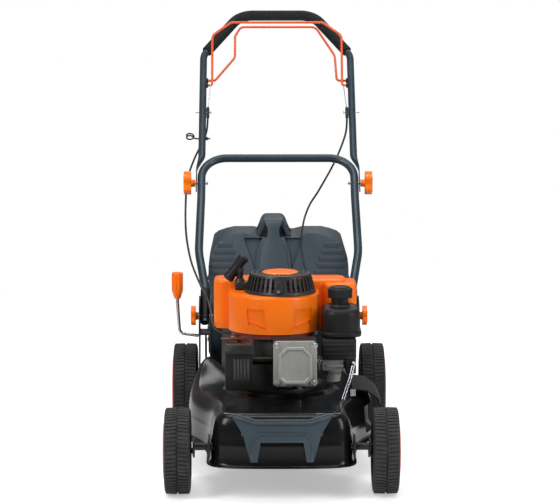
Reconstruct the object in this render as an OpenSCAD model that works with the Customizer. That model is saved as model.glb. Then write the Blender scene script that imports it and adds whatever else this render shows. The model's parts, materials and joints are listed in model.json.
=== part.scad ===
// Walk-behind rotary lawn mower with a petrol engine, rear grass box and folding handle.
// All sizes in millimetres. x to the mower's left as seen from behind, y to the rear, z up.
// y is counted from the front axle and shifted so that the part is centred over the origin.

/* [Wheels] */
// diameter of the front wheels
front_wheel_d = 186; // [150:1:200]
// width of the front wheels
front_wheel_w = 56; // [40:1:60]
// diameter of the rear wheels
rear_wheel_d = 216; // [180:1:240]
// width of the rear wheels
rear_wheel_w = 57; // [40:1:60]
// distance between the front and rear axles
wheelbase = 620; // [560:5:680]
// distance from the middle plane to the outer face of a wheel
wheel_out_x = 251; // [240:1:260]
// thickness of a hub cap
hubcap_t = 4.2; // [3:0.1:6]

/* [Height adjuster] */
// distance of a crank pivot ahead of its wheel axle
crank_ahead = 36; // [30:1:45]
// distance of a crank pivot above its wheel axle
crank_above = 17; // [10:1:25]
// length of the arm that carries the link rod
link_arm = 32; // [28:1:36]
// diameter of the lever rod
lever_rod_d = 8; // [6:0.5:10]
// diameter of the lever grip
lever_grip_d = 28; // [22:1:32]

/* [Deck] */
// height of the lower edge of the deck above the ground
deck_low = 72; // [65:1:85]
// height of the top of the deck above the ground
deck_top = 176; // [165:1:190]
// thickness of the pressed sheet
deck_t = 2.3; // [1.5:0.1:3]
// height of the raised nose above the top of the deck
nose_rise = 9; // [0:1:12]
// height of the scroll above the top of the deck
scroll_rise = 54; // [20:1:60]
// distance of the blade axis behind the front axle
blade_y = 270; // [250:1:290]
// radius of the blade
blade_r = 195; // [180:1:200]

/* [Engine] */
// half the width of the front of the shroud
shroud_half = 102; // [95:1:102]
// depth of the rounded front of the shroud
shroud_depth = 94; // [92:1:98]
// height of the lower edge of the shroud
shroud_low = 312; // [300:1:320]
// height of the seat of the starter cover
shroud_seat = 397; // [380:1:410]
// height of the top of the starter cover
starter_top = 441; // [430:1:450]
// height of the raised rear body of the shroud
wing_top = 416; // [405:1:425]

/* [Handle] */
// diameter of the lower handle tube
lower_tube_d = 20; // [18:0.5:22]
// diameter of the upper handle tube
upper_tube_d = 18; // [16:0.5:20]
// diameter of the foam grip
foam_d = 27; // [24:0.5:32]
// length of the upper handle from its knobs to the grip
upper_len = 571; // [520:1:620]
// slope of the handle above the ground
handle_slope = 43.4; // [40:0.1:50]
// diameter of the bail rods
bail_d = 6; // [5:0.5:7]
// lean of the engine bail ahead of the handle
bail_a_lean = 20; // [15:1:25]
// lean of the drive bail ahead of the handle
bail_b_lean = 32; // [28:1:36]
// diameter of the control cables
cable_d = 5; // [4:0.5:6]

/* [Grass box] */
// width of the grass box
box_w = 338; // [300:2:360]
// length of the grass box
box_len = 420; // [380:5:450]
// height of the top of the grass box above the ground
box_top = 474; // [460:1:500]
// wall thickness of the grass box
box_t = 3; // [2:0.5:5]

/* [Hidden] */
$fn = 64;
// distance of the middle of the part behind the front axle
mid_y = 575.5;
// gap between pieces that touch in the real object
gap = 0.3;
// running clearance of a shaft in its hole
run = 0.05;
// small overlap of cutting tools
eps = 1;

front_axle_z = front_wheel_d / 2;
rear_axle_z = rear_wheel_d / 2;
front_pivot = [-crank_ahead, front_axle_z + crank_above];
rear_pivot = [wheelbase - crank_ahead, rear_axle_z + crank_above];
// inner and outer face of the crank plates
plate_in = 186.5;
plate_out = 190.5;
stub_r = 6;
front_rod_r = 8;
rear_tube_r = 11;
drive_r = 7;
link_r = 3.5;
// side position of the link rod under the deck, and the inner and outer face of its arms
link_x = 123;
arm_in = 127;
arm_out = 131;
// place of the lever rod on its arm, and the side position of its grip
lever_foot = [604, 239];
lever_x = -241.2;

// lower and upper pivots of the handle as y and z
low_pivot = [550, 295];
knob_pivot = [835, 578];
low_x = 175;
bend_x = 192;
top_x = 188;
lower_r = lower_tube_d / 2;
upper_r = upper_tube_d / 2;
bail_r = bail_d / 2;
pin_r = 2.8;
stud_r = 4;
// places of the bail pivots along the upper handle and above its plane
bail_a_pivot = [323.5, 2];
bail_b_pivot = [345, -4];

// where the scroll starts and ends
scroll_from = 190;
scroll_to = 480;

// blade height and the heights of the pulleys on the crankshaft
blade_z = 80;
pulley_z = 136;
pulley_h = 16;
pulley_r = 28;
flange_r = 34;
gear_xy = [95, 528];
crank_r = 12.5;
// middle of the rounded front of the shroud
shroud_mid = [-14, 280];
// underside of the fuel cap
cap_z = 387;

// front of the grass box, and the foot and head of its front slope
box_y = 658;
slope_low = 307;
slope_y = 735;
slope_rise = (box_top - slope_low) / (slope_y - box_y);

// hinges of the flaps and the place of the starter rope
rear_hinge = [648, 316];
side_hinge = [160, 187];
rope_at = [-91, 298];
rope_out_z = 398;

// colours
black = [0.08, 0.08, 0.09];
grey = [0.27, 0.33, 0.37];
slate = [0.2, 0.27, 0.31];
orange = [1, 0.5, 0.06];
red = [0.9, 0.38, 0.18];
steel = [0.65, 0.66, 0.68];
alloy = [0.75, 0.75, 0.74];
rubber = [0.13, 0.13, 0.14];

// a vector of length one
function unit(v) = v / norm(v);
// a point of the handle plane: s along the slope from the knobs, x across, h above the plane
function on_slope(s, x, h) = [
  x,
  knob_pivot[0] + s * cos(handle_slope) - h * sin(handle_slope),
  knob_pivot[1] + s * sin(handle_slope) + h * cos(handle_slope)
];
// the arc of radius r that rounds the corner b between a and c
function corner(a, b, c, r, n) =
  let (u = unit(a - b), v = unit(c - b))
  let (half = acos(u * v) / 2, turn = 180 - 2 * half)
  let (middle = b + unit(u + v) * r / sin(half))
  let (e = b + u * r / tan(half) - middle, f = b + v * r / tan(half) - middle)
  [for (i = [0 : n]) middle + (e * sin(turn - turn * i / n) + f * sin(turn * i / n)) / sin(turn)];
// a line of points with every inner corner rounded
function bent(p, r, n) = [
  p[0],
  for (i = [1 : len(p) - 2]) each corner(p[i - 1], p[i], p[i + 1], r[i - 1], n),
  p[len(p) - 1]
];
// a smooth line through points, n steps between two points
function flowing(p, n) = [
  for (i = [0 : len(p) - 2], k = [0 : n - 1])
    let (a = p[max(i - 1, 0)], b = p[i], c = p[i + 1], d = p[min(i + 2, len(p) - 1)], t = k / n)
      (2 * b + (c - a) * t + (2 * a - 5 * b + 4 * c - d) * t * t
        + (3 * b - a - 3 * c + d) * t * t * t) / 2,
  p[len(p) - 1]
];
// directions along a line of points
function along(p) = [
  for (i = [0 : len(p) - 1]) unit(p[min(i + 1, len(p) - 1)] - p[max(i - 1, 0)])
];
// one side direction for each point, carried along the line without twist
function carried(t, start, i) =
  i == 0
    ? [unit(start - t[0] * (start * t[0]))]
    : let (before = carried(t, start, i - 1))
      concat(before, [unit(before[i - 1] - t[i] * (before[i - 1] * t[i]))]);
// the rings of a round rod along a line
function rings(p, r, sides, start) =
  let (t = along(p), n = carried(t, start, len(p) - 1))
  [
    for (i = [0 : len(p) - 1])
      let (b = cross(t[i], n[i]))
        [for (j = [0 : sides - 1]) p[i] + r * (cos(360 * j / sides) * n[i] + sin(360 * j / sides) * b)]
  ];
// the triangles between ring i and ring k of m points
function band(i, k, m) = [
  for (j = [0 : m - 1])
    let (j2 = (j + 1) % m)
      each [[i * m + j, k * m + j, k * m + j2], [i * m + j, k * m + j2, i * m + j2]]
];

// a solid round rod along a line of points
module rod(p, r, sides, start = [1, 0, 0]) {
  k = len(p);
  polyhedron(
    [for (ring = rings(p, r, sides, start)) each ring],
    concat(
      [[for (j = [0 : sides - 1]) j]],
      [for (i = [0 : k - 2]) each band(i, i + 1, sides)],
      [[for (j = [sides - 1 : -1 : 0]) (k - 1) * sides + j]]
    ),
    convexity = 6
  );
}

// a round sleeve along a line of points
module sleeve(p, r_out, r_in, sides, start = [1, 0, 0]) {
  k = len(p);
  outer = rings(p, r_out, sides, start);
  inner = rings(p, r_in, sides, start);
  polyhedron(
    concat([for (ring = outer) each ring], [for (i = [k - 1 : -1 : 0]) each inner[i]]),
    [for (i = [0 : 2 * k - 1]) each band(i, (i + 1) % (2 * k), sides)],
    convexity = 6
  );
}

// a cylinder along x from x = a to x = b at y and z
module across(a, b, yz, r) {
  translate([min(a, b), yz[0], yz[1]]) rotate([0, 90, 0]) cylinder(h = abs(b - a), r = r);
}

// a box between two corners
module block(a, b) {
  translate(a) cube(b - a);
}

// a flat shape given in y and z, extruded along x from a to b
module side_plate(a, b) {
  translate([a, 0, 0]) rotate([90, 0, 90]) linear_extrude(b - a) children();
}

// a rectangle with round corners, from corner a to corner b
module round_rect(a, b, r) {
  translate([a[0] + r, a[1]]) square([b[0] - a[0] - 2 * r, b[1] - a[1]]);
  translate([a[0], a[1] + r]) square([b[0] - a[0], b[1] - a[1] - 2 * r]);
  for (x = [a[0] + r, b[0] - r], y = [a[1] + r, b[1] - r]) translate([x, y]) circle(r);
}

// a piece in its place, shifted to the middle of the part
module put(c) {
  color(c) translate([0, -mid_y, 0]) children();
}

// a strap with round ends between two points
module strap(a, b, w) {
  translate(a) circle(w / 2);
  translate(b) circle(w / 2);
  translate(a) rotate(atan2(b[1] - a[1], b[0] - a[0])) translate([0, -w / 2]) square([norm(b - a), w]);
}

// half of the outline of the deck wall, from the middle of the nose to the middle of the rear
deck_half = [
  [0, -78], [60, -77], [105, -74], [132, -67], [146, -54], [152, -34], [153, -8], [153, 25], [153, 65],
  [157, 100], [167, 137], [182, 173], [196, 209], [206, 245], [210, 280], [209, 315], [205, 350],
  [198, 385], [189, 420], [181, 450], [174, 480], [170, 510], [170, 550], [170, 590], [167, 610],
  [158, 628], [144, 641], [125, 648], [90, 650], [45, 650], [0, 650]
];
deck_line = concat(
  deck_half,
  [for (i = [len(deck_half) - 2 : -1 : 1]) [-deck_half[i][0], deck_half[i][1]]]
);
deck_n = len(deck_line);
// the outward direction of the outline at each point
deck_out = [
  for (i = [0 : deck_n - 1])
    let (t = unit(deck_line[(i + 1) % deck_n] - deck_line[(i + deck_n - 1) % deck_n])) [t[1], -t[0]]
];
// how far the scroll on the right side and the nose rise at a point of the outline
function scroll(y) =
  let (share = (y - scroll_from) / (scroll_to - scroll_from))
  share <= 0 || share >= 1 ? 0 : scroll_rise * pow(sin(180 * pow(share, 2.6)), 1.1);
function deck_rise(p) =
  (p[0] < 0 ? scroll(p[1]) : 0) + nose_rise * max(0, min(1, (140 - p[1]) / 100));
// the outline moved inward by d at height z, with the share w of its rise
function deck_ring(d, z, w = 0) = [
  for (i = [0 : deck_n - 1])
    let (p = deck_line[i] - d * deck_out[i]) [p[0], p[1], z + w * deck_rise(deck_line[i])]
];
// a circle about the blade axis at height z, with one point for each point of the outline
function seat_ring(r, z) = [
  for (p = deck_line)
    let (q = [0, blade_y] + r * unit(p - [0, blade_y])) [q[0], q[1], z]
];
// the skin of the deck: outside from the lip up to the crankshaft hole, then back inside
deck_rings = [
  deck_ring(-9, deck_low),
  deck_ring(-9, deck_low + deck_t),
  deck_ring(-1.5, deck_low + deck_t + 1),
  deck_ring(0, deck_low + 10),
  deck_ring(2, deck_low + 48),
  deck_ring(4, deck_top - 26, 0.3),
  deck_ring(8, deck_top - 13, 0.62),
  deck_ring(16, deck_top - 4, 0.92),
  deck_ring(28, deck_top, 1),
  deck_ring(40, deck_top, 0.8),
  seat_ring(130, deck_top + 0.6),
  seat_ring(122, deck_top + 8),
  seat_ring(112, deck_top + 10),
  seat_ring(104, deck_top + 4),
  seat_ring(40, deck_top + 4),
  seat_ring(40, deck_top + 4 - deck_t),
  seat_ring(105.5, deck_top + 4 - deck_t),
  seat_ring(112, deck_top + 10 - deck_t),
  seat_ring(121, deck_top + 8 - deck_t),
  seat_ring(129, deck_top + 0.6 - deck_t),
  deck_ring(40, deck_top - deck_t, 0.8),
  deck_ring(29, deck_top - deck_t, 1),
  deck_ring(17.5, deck_top - 4 - deck_t, 0.92),
  deck_ring(10, deck_top - 14, 0.62),
  deck_ring(6.3, deck_top - 26.5, 0.3),
  deck_ring(4.3, deck_low + 48),
  deck_ring(deck_t, deck_low + 10),
  deck_ring(deck_t, deck_low)
];

// pressed steel deck with its lip, engine seat, discharge openings and axle holes
module deck() {
  m = len(deck_rings);
  put(black) difference() {
    polyhedron(
      [for (ring = deck_rings) each ring],
      [for (i = [0 : m - 1]) each band(i, (i + 1) % m, deck_n)],
      convexity = 10
    );
    block([-128, 486, deck_top - 12], [38, 618, deck_top + 12]);
    block([182, 195, deck_low + 16], [230, 345, deck_top - 28]);
    across(-200, 200, front_pivot, 10);
    across(-200, 200, rear_pivot, 13.5);
    translate([140, 500, deck_top - 15]) cylinder(h = 30, r = 6);
  }
}

// plastic hand-hold on the nose
module front_handle() {
  put(slate) {
    translate([0, -98, 0]) rotate([90, 0, 0]) linear_extrude(14) polygon([
      [-66, 92], [-83, 152], [-108, 194], [-98, 195], [-56, 182], [56, 182], [98, 195], [108, 194],
      [83, 152], [66, 92], [52, 92], [45, 134], [-45, 134], [-52, 92]
    ]);
    for (side = [-1, 1]) {
      block([min(side * 54, side * 65), -100, 94], [max(side * 54, side * 65), -79.5, 110]);
    }
    block([-86, -100, 146], [86, -80, 176]);
  }
}

// bearing plates of the axles, and the notched plate of the height lever
module axle_brackets() {
  put(black) {
    for (side = [-1, 1]) {
      difference() {
        side_plate(min(side * 153.5, side * 157.5), max(side * 153.5, side * 157.5))
          round_rect(front_pivot - [30, 22], front_pivot + [30, 22], 8);
        across(side * 145, side * 165, front_pivot, front_rod_r + run);
      }
      difference() {
        side_plate(min(side * 172, side * 176), max(side * 172, side * 176))
          round_rect(rear_pivot - [30, 25], rear_pivot + [30, 25], 8);
        across(side * 165, side * 180, rear_pivot, rear_tube_r + run);
      }
    }
    difference() {
      union() {
        side_plate(-176, -172) intersection() {
          translate(rear_pivot) circle(118);
          polygon([[596, 177.5], [644, 177.5], [650, 240], [578, 240], [578, 205]]);
        }
        block([-176, 600, 177.5], [-138, 640, 180]);
      }
      for (a = [67, 76, 85]) {
        across(-180, -168, rear_pivot + 118 * [cos(a), sin(a)], 4.5);
      }
    }
  }
}

// the outline of a handle bracket above height z
module bracket_side(z) {
  polygon([[506, z], [592, z], [600, 330], [570, 340], [528, 318], [506, 262]]);
}

// pressed brackets that hold the lower handle, each with a spare hole of its own
module handle_brackets() {
  put(black) for (side = [-1, 1]) {
    difference() {
      union() {
        side_plate(min(side * 159, side * 163), max(side * 159, side * 163)) bracket_side(177.5);
        side_plate(min(side * 186, side * 189), max(side * 186, side * 189)) bracket_side(254);
        block([min(side * 159, side * 189), 520, 254], [max(side * 159, side * 189), 590, 258]);
        block([min(side * 138, side * 163), 506, 177.5], [max(side * 138, side * 163), 590, 180.5]);
      }
      across(side * 150, side * 195, low_pivot, stud_r + run);
      across(side * 150, side * 195, side > 0 ? [580, 266] : [570, 272], 4.25);
    }
  }
}

// the outline of the discharge chute, inset by t
module chute_side(t) {
  polygon([
    [476 + 2.4 * t, 177.5 - t], [654, 177.5 - t], [654, 300 - t], [590 + t, 300 - t], [488 + 2 * t, 212 - t]
  ]);
}

// chute that leads the clippings from the deck up to the grass box, with the ears of its flap
module discharge_chute() {
  put(black) {
    difference() {
      side_plate(-135, 45) chute_side(0);
      side_plate(-131.5, 41.5) chute_side(3);
      block([-131.5, 640, 177], [41.5, 660, 297]);
    }
    for (x = [-135, 41.5]) {
      difference() {
        side_plate(x, x + 3.5) union() {
          translate(rear_hinge) circle(8);
          polygon([[628, 292], [654, 292], rear_hinge + [7, 0], rear_hinge - [8, 2]]);
        }
        across(x - eps, x + 5, rear_hinge, 3 + run);
      }
    }
  }
}

// hinge rods of the two flaps, with the ears of the side flap
module flap_rods() {
  put(steel) {
    across(-137, 47, rear_hinge, 3);
    translate([side_hinge[0], 172, side_hinge[1]]) rotate([-90, 0, 0]) cylinder(h = 196, r = 3);
    for (y = [174, 360]) {
      block([side_hinge[0] - 6, y, deck_top + 0.8], [side_hinge[0] + 6, y + 6, side_hinge[1] + 5]);
    }
  }
}

// crankcase, finned cylinder and the bracket of the brake
module engine_block() {
  put(alloy) difference() {
    union() {
      translate([0, blade_y, deck_top + 4.3]) cylinder(h = 10, r = 92);
      translate([0, blade_y, deck_top + 13]) cylinder(h = 111, r = 72);
      block([-4, 88, 228], [64, 230, 300]);
      block([-14, 87, 219], [74, 100, 309]);
      for (y = [106 : 10 : 186]) {
        block([-18, y, 216], [78, y + 3.5, 308]);
      }
      block([-106, 232, 296], [-50, 252, 302]);
      translate([-96, 242, 300]) cylinder(h = 10.5, r = 3);
    }
    translate([0, blade_y, deck_top]) cylinder(h = 140, r = crank_r + run);
  }
}

// aluminium cover over the valves
module valve_cover() {
  put(alloy) {
    translate([0, 86.7, 0]) rotate([90, 0, 0]) linear_extrude(7) round_rect([-17, 217], [78, 317], 9);
    translate([0, 82, 0]) rotate([90, 0, 0]) linear_extrude(20)
      polygon([[-3, 226], [66, 226], [66, 290], [56, 301], [7, 301], [-3, 290]]);
  }
}

// bolts of the valve cover and of the engine foot
module engine_bolts() {
  put(steel) {
    for (p = [[-10, 308], [72, 308], [-10, 226], [72, 226]]) {
      translate([p[0], 79.5, p[1]]) rotate([90, 0, 0]) cylinder(h = 5, r = 5.5, $fn = 6);
    }
    for (a = [30, 150, 270]) {
      translate([0, blade_y, deck_top + 14.5]) rotate(a) translate([82, 0, 0]) cylinder(h = 6, r = 7, $fn = 6);
    }
  }
}

// the plan of the front of the shroud, inset by t
module shroud_plan(t) {
  half = shroud_half - t;
  translate(shroud_mid) scale([1, shroud_depth / shroud_half]) circle(half, $fn = 96);
  translate(shroud_mid - [half, 0]) square([2 * half, 60 - t]);
}

// blower housing over the flywheel, with the raised rear body
module shroud() {
  put(orange) difference() {
    union() {
      translate([0, 0, shroud_low]) linear_extrude(shroud_seat - shroud_low) shroud_plan(0);
      translate([0, 0, 305]) linear_extrude(wing_top - 305) round_rect([-150, 318], [172, 402], 24);
    }
    translate([0, blade_y, shroud_seat]) cylinder(h = 60, r = 81);
    translate([0, 0, shroud_low - 9]) linear_extrude(shroud_seat - shroud_low + 5.5) shroud_plan(3.5);
    translate([0, blade_y, shroud_seat - 10]) cylinder(h = 20, r = 60);
    difference() {
      translate([0, 0, 300]) linear_extrude(wing_top - 303.5) round_rect([-146.5, 321.5], [168.5, 398.5], 20);
      translate([0, blade_y, shroud_seat - 3.5]) cylinder(h = 60, r = 84.5);
    }
  }
}

// slotted cover of the recoil starter
module recoil_cover() {
  put(black) translate([0, blade_y, 0]) difference() {
    rotate_extrude() polygon([
      [80, shroud_seat + gap], [80, shroud_seat + 7], [68, starter_top], [40, starter_top],
      [40, starter_top - 3], [66, starter_top - 3], [76.8, shroud_seat + 7], [76.8, shroud_seat + gap]
    ]);
    for (a = [0 : 15 : 345]) {
      rotate(a + 7.5) block([60, -2.6, shroud_seat + 9], [84, 2.6, starter_top - 8]);
    }
    block([-96, 14, 405], [-60, 34, 416]);
  }
}

// disc on the starter cover with the post of the rope pulley
module recoil_disc() {
  put(orange) translate([0, blade_y, 0]) {
    translate([0, 0, starter_top - 2.7]) cylinder(h = 5, r = 39.7);
    translate([0, 0, shroud_seat + 4]) cylinder(h = starter_top - shroud_seat - 5, r = 6);
  }
}

// muffler with its port and heat plate
module muffler() {
  put(steel) {
    translate([0, 186, 0]) rotate([90, 0, 0]) linear_extrude(74) round_rect([-120, 206], [-64, 302], 12);
    across(-70, -18.5, [172, 258], 9);
    block([-132, 140, 308.6], [-81, 165, 311.2]);
    block([-96, 142, 300], [-88, 163, 309]);
  }
}

// slotted guard in front of the muffler
module muffler_guard() {
  put(black) difference() {
    union() {
      translate([0, 108, 0]) rotate([90, 0, 0]) linear_extrude(4) round_rect([-122, 203], [-62, 304.5], 6);
      block([-120, 96, 287], [-64, 106, 291]);
    }
    for (i = [0 : 4]) {
      block([-104 + 7.6 * i, 90, 225], [-100 + 7.6 * i, 120, 275]);
    }
  }
}

// carburettor with its bowl and intake pipe
module carburettor() {
  put(alloy) {
    block([92, 180, 234], [138, 226, 255]);
    translate([115, 203, 207]) cylinder(h = 29, r = 18);
    translate([115, 203, 203]) cylinder(h = 6, r = 4);
    across(64.4, 94, [208, 244], 11);
    block([84, 188, 232], [88, 228, 258]);
  }
}

// fuel tank with its filler neck
module fuel_tank() {
  put(black) difference() {
    union() {
      translate([0, 0, 306]) linear_extrude(50) round_rect([92, 182], [175, 300], 18);
      translate([0, 0, 355]) linear_extrude(10) round_rect([98, 188], [169, 294], 14);
      translate([133, 245, 360]) cylinder(h = cap_z - 360.4, r = 19);
    }
    translate([0, 0, 309]) linear_extrude(53) round_rect([101, 191], [166, 291], 12);
    translate([133, 245, 360]) cylinder(h = 40, r = 16.2);
  }
}

// reduction gear of the wheel drive
module gearbox() {
  put(alloy) difference() {
    union() {
      block([68, 506, 106], [122, 596, 134]);
      across(68, 122, rear_pivot, 19);
    }
    across(60, 130, rear_pivot, drive_r + run);
    translate([gear_xy[0], gear_xy[1], 108]) cylinder(h = 40, r = 6 + run);
  }
}

// the outline of the belt at distance r from the pulley axes
module belt_line(r) {
  strap([0, blade_y], gear_xy, 2 * r);
}

// belt from the crankshaft to the wheel drive
module drive_belt() {
  put(rubber) translate([0, 0, pulley_z + 3.2]) linear_extrude(pulley_h - 6.4) difference() {
    belt_line(34.2);
    belt_line(pulley_r + 0.4);
  }
}

// crankshaft with the thread hole of the blade bolt
module crankshaft() {
  put(steel) translate([0, blade_y, 0]) difference() {
    translate([0, 0, 90]) cylinder(h = 302, r = crank_r);
    translate([0, 0, 80]) cylinder(h = 34, r = 5);
  }
}

// flywheel with its fan vanes
module flywheel() {
  put(alloy) translate([0, blade_y, 0]) difference() {
    union() {
      translate([0, 0, 322]) cylinder(h = 12, r = 74);
      translate([0, 0, 316]) cylinder(h = 30, r = 20);
      for (a = [0 : 30 : 330]) {
        rotate(a) block([48, -2, 330], [73, 2, 354]);
      }
    }
    translate([0, 0, 300]) cylinder(h = 60, r = crank_r + run);
  }
}

// a grooved belt pulley
module pulley() {
  translate([0, 0, pulley_z]) cylinder(h = 2.6, r = flange_r);
  translate([0, 0, pulley_z]) cylinder(h = pulley_h, r = pulley_r);
  translate([0, 0, pulley_z + pulley_h - 2.6]) cylinder(h = 2.6, r = flange_r);
}

// blade hub with the belt pulley of the wheel drive
module blade_adapter() {
  put(steel) translate([0, blade_y, 0]) difference() {
    union() {
      translate([0, 0, blade_z + 8.3]) cylinder(h = 60, r = 22);
      pulley();
    }
    translate([0, 0, 80]) cylinder(h = 90, r = crank_r + run);
  }
}

// cutting blade with its lifted trailing edges
module blade() {
  put(steel) translate([0, blade_y, blade_z + 4]) difference() {
    intersection() {
      union() {
        block([-blade_r, -24, 0], [blade_r, 24, 4]);
        for (a = [0, 180]) {
          rotate(a) translate([105, 22, 1]) rotate([35, 0, 0]) block([0, -2, -1], [90, 26, 2.5]);
        }
      }
      translate([0, 0, -5]) cylinder(h = 50, r = blade_r);
    }
    translate([0, 0, -5]) cylinder(h = 20, r = 5.05);
  }
}

// bolt that holds the blade
module blade_bolt() {
  put(steel) translate([0, blade_y, 0]) {
    translate([0, 0, blade_z - 4]) cylinder(h = 7.7, r = 11, $fn = 6);
    translate([0, 0, blade_z + 2]) cylinder(h = 28, r = 4.95);
  }
}

// pulley that winds the starter rope
module recoil_pulley() {
  put(black) translate([0, blade_y, 0]) difference() {
    union() {
      translate([0, 0, 404]) cylinder(h = 3, r = 52);
      translate([0, 0, 404]) cylinder(h = 13, r = 40);
      translate([0, 0, 414]) cylinder(h = 3, r = 52);
    }
    translate([0, 0, 400]) cylinder(h = 30, r = 6 + run);
  }
}

// grip of the starter rope
module recoil_handle() {
  put(black) {
    translate([-119, rope_at[1], 420]) rotate([0, atan2(40, 53), 0]) cylinder(h = 66.4, r = 10);
    translate([rope_at[0], rope_at[1], 424]) cylinder(h = 26, r = 6);
  }
}

// starter rope between its pulley and its grip
module recoil_rope() {
  put(black) rod(
    bent(
      [[-54, 294, 410.5], [rope_at[0], rope_at[1], 410.5], [rope_at[0], rope_at[1], 423.6]],
      [6],
      4
    ),
    1.8, 8, [0, 1, 0]
  );
}

// driven pulley of the wheel drive with its shaft
module gear_pulley() {
  put(steel) translate([gear_xy[0], gear_xy[1], 0]) {
    pulley();
    translate([0, 0, 110]) cylinder(h = 40, r = 6);
  }
}

// shaft and pinions of the wheel drive
module drive_shaft() {
  put(steel) {
    across(-212, 212, rear_pivot, drive_r);
    across(-212, -196, rear_pivot, 12);
    across(196, 212, rear_pivot, 12);
  }
}

// a moulded wheel with a recess on its inner side
module wheel(side, y, r, w) {
  put(rubber) translate([side * (wheel_out_x - w), y, r]) rotate([0, side * 90, 0]) rotate_extrude($fn = 96)
    polygon([
      [stub_r + run, 0], [17, 0], [17, 22], [r - 36, 22], [r - 36, 0], [r - 12, 0], [r - 4, 3], [r, 9],
      [r, w - 9], [r - 4, w - 3], [r - 12, w], [r - 28, w], [r - 28, w - 3], [stub_r + run, w - 3]
    ]);
}

// a domed cap on the outer side of a wheel
module hubcap(side, y, r) {
  put(red) translate([side * (wheel_out_x - 2.7), y, r]) rotate([0, side * 90, 0]) rotate_extrude()
    polygon([[0, 0], [r - 28.5, 0], [r - 28.5, 3], [r - 34, 5.2], [20, 2.7 + hubcap_t], [0, 2.7 + hubcap_t]]);
}

// a crank plate with its stub axle, from its pivot to its wheel axle
module crank(side, pivot, axle) {
  side_plate(min(side * plate_in, side * plate_out), max(side * plate_in, side * plate_out)) union() {
    strap(pivot, axle, 30);
    translate(pivot) circle(19);
  }
  across(side * plate_in, side * (wheel_out_x - 6), axle, stub_r);
}

// front axle rod with both cranks and the pin of the link rod
module front_axle() {
  put(steel) {
    across(-plate_in - 1, plate_in + 1, front_pivot, front_rod_r);
    for (side = [-1, 1]) {
      crank(side, front_pivot, [0, front_axle_z]);
    }
    side_plate(-arm_out, -arm_in) strap(front_pivot, front_pivot + [0, link_arm], 18);
    across(-arm_in - 1, -link_x + 4, front_pivot + [0, link_arm], link_r);
  }
}

// rear cranks with their tubes, the arm of the height lever and the pin of the link rod
module rear_axle() {
  put(steel) difference() {
    union() {
      across(-plate_in - 1, 66, rear_pivot, rear_tube_r);
      across(124, plate_in + 1, rear_pivot, rear_tube_r);
      for (side = [-1, 1]) {
        crank(side, rear_pivot, [wheelbase, rear_axle_z]);
      }
      side_plate(-plate_out, -plate_in) strap(rear_pivot, lever_foot, 24);
      side_plate(-arm_out, -arm_in) strap(rear_pivot, rear_pivot + [0, link_arm], 24);
      across(-arm_in - 1, -link_x + 4, rear_pivot + [0, link_arm], link_r);
    }
    across(-200, 200, rear_pivot, drive_r + 0.6);
  }
}

// rod of the height lever
module height_lever() {
  put(steel) rod(
    bent(
      [
        [-plate_out - 0.9, lever_foot[0], lever_foot[1]], [-236.5, lever_foot[0], lever_foot[1] + 6],
        [lever_x, lever_foot[0], 318], [lever_x, lever_foot[0], 386]
      ],
      [12, 30],
      5
    ),
    lever_rod_d / 2, 10, [0, 1, 0]
  );
}

// grip of the height lever
module lever_grip() {
  put(orange) translate([lever_x, lever_foot[0], 0]) difference() {
    union() {
      translate([0, 0, 330]) cylinder(h = 52, r = lever_grip_d / 2);
      translate([0, 0, 382]) cylinder(h = 10, r1 = lever_grip_d / 2, r2 = lever_grip_d / 2 - 5);
    }
    translate([0, 0, 325]) cylinder(h = 62, r = lever_rod_d / 2 + 0.3);
  }
}

// rod that turns the front axle with the rear one
module link_rod() {
  front_pin = front_pivot + [0, link_arm];
  rear_pin = rear_pivot + [0, link_arm];
  span = rear_pin - front_pin;
  put(steel) difference() {
    union() {
      across(-arm_in + gap, -link_x + 3.7, front_pin, 8);
      across(-arm_in + gap, -link_x + 3.7, rear_pin, 8);
      translate([-link_x, front_pin[0], front_pin[1]]) rotate([atan2(span[1], span[0]) - 90, 0, 0])
        translate([0, 0, 5]) cylinder(h = norm(span) - 10, r = link_r);
    }
    across(-arm_out, -link_x + 8, front_pin, link_r + run);
    across(-arm_out, -link_x + 8, rear_pin, link_r + run);
  }
}

// the line of the lower handle
lower_end = [low_x, low_pivot[0] - 14, low_pivot[1] - 14];
lower_clear = [low_x, low_pivot[0] + 56, low_pivot[1] + 56];
lower_bend = [bend_x, 684, 429];
lower_neck = on_slope(-48, top_x, 0);
lower_bar = on_slope(81, top_x, 0);
function flip(p) = [-p[0], p[1], p[2]];
lower_half = [lower_end, lower_clear, lower_bend, lower_neck, lower_bar];
lower_line = bent(
  concat(lower_half, [for (i = [len(lower_half) - 1 : -1 : 0]) flip(lower_half[i])]),
  [110, 200, 200, 62, 62, 200, 200, 110],
  5
);

// lower handle with the holes of its knob studs
module lower_handle() {
  put(slate) difference() {
    rod(lower_line, lower_r, 12, [0, 1, 0]);
    across(-210, 210, low_pivot, stud_r + run);
    across(-210, 210, knob_pivot, stud_r + run);
  }
}

// the line of the upper handle
upper_foot = on_slope(70, top_x, 0);
upper_side = on_slope(430, top_x, 0);
upper_bar = on_slope(upper_len, 95, 0);
upper_line = bent(
  [upper_foot, upper_side, upper_bar, flip(upper_bar), flip(upper_side), flip(upper_foot)],
  [50, 60, 60, 50],
  6
);
// the part of that line that the foam covers
foam_line = [for (i = [7 : len(upper_line) - 8]) upper_line[i]];

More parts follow.
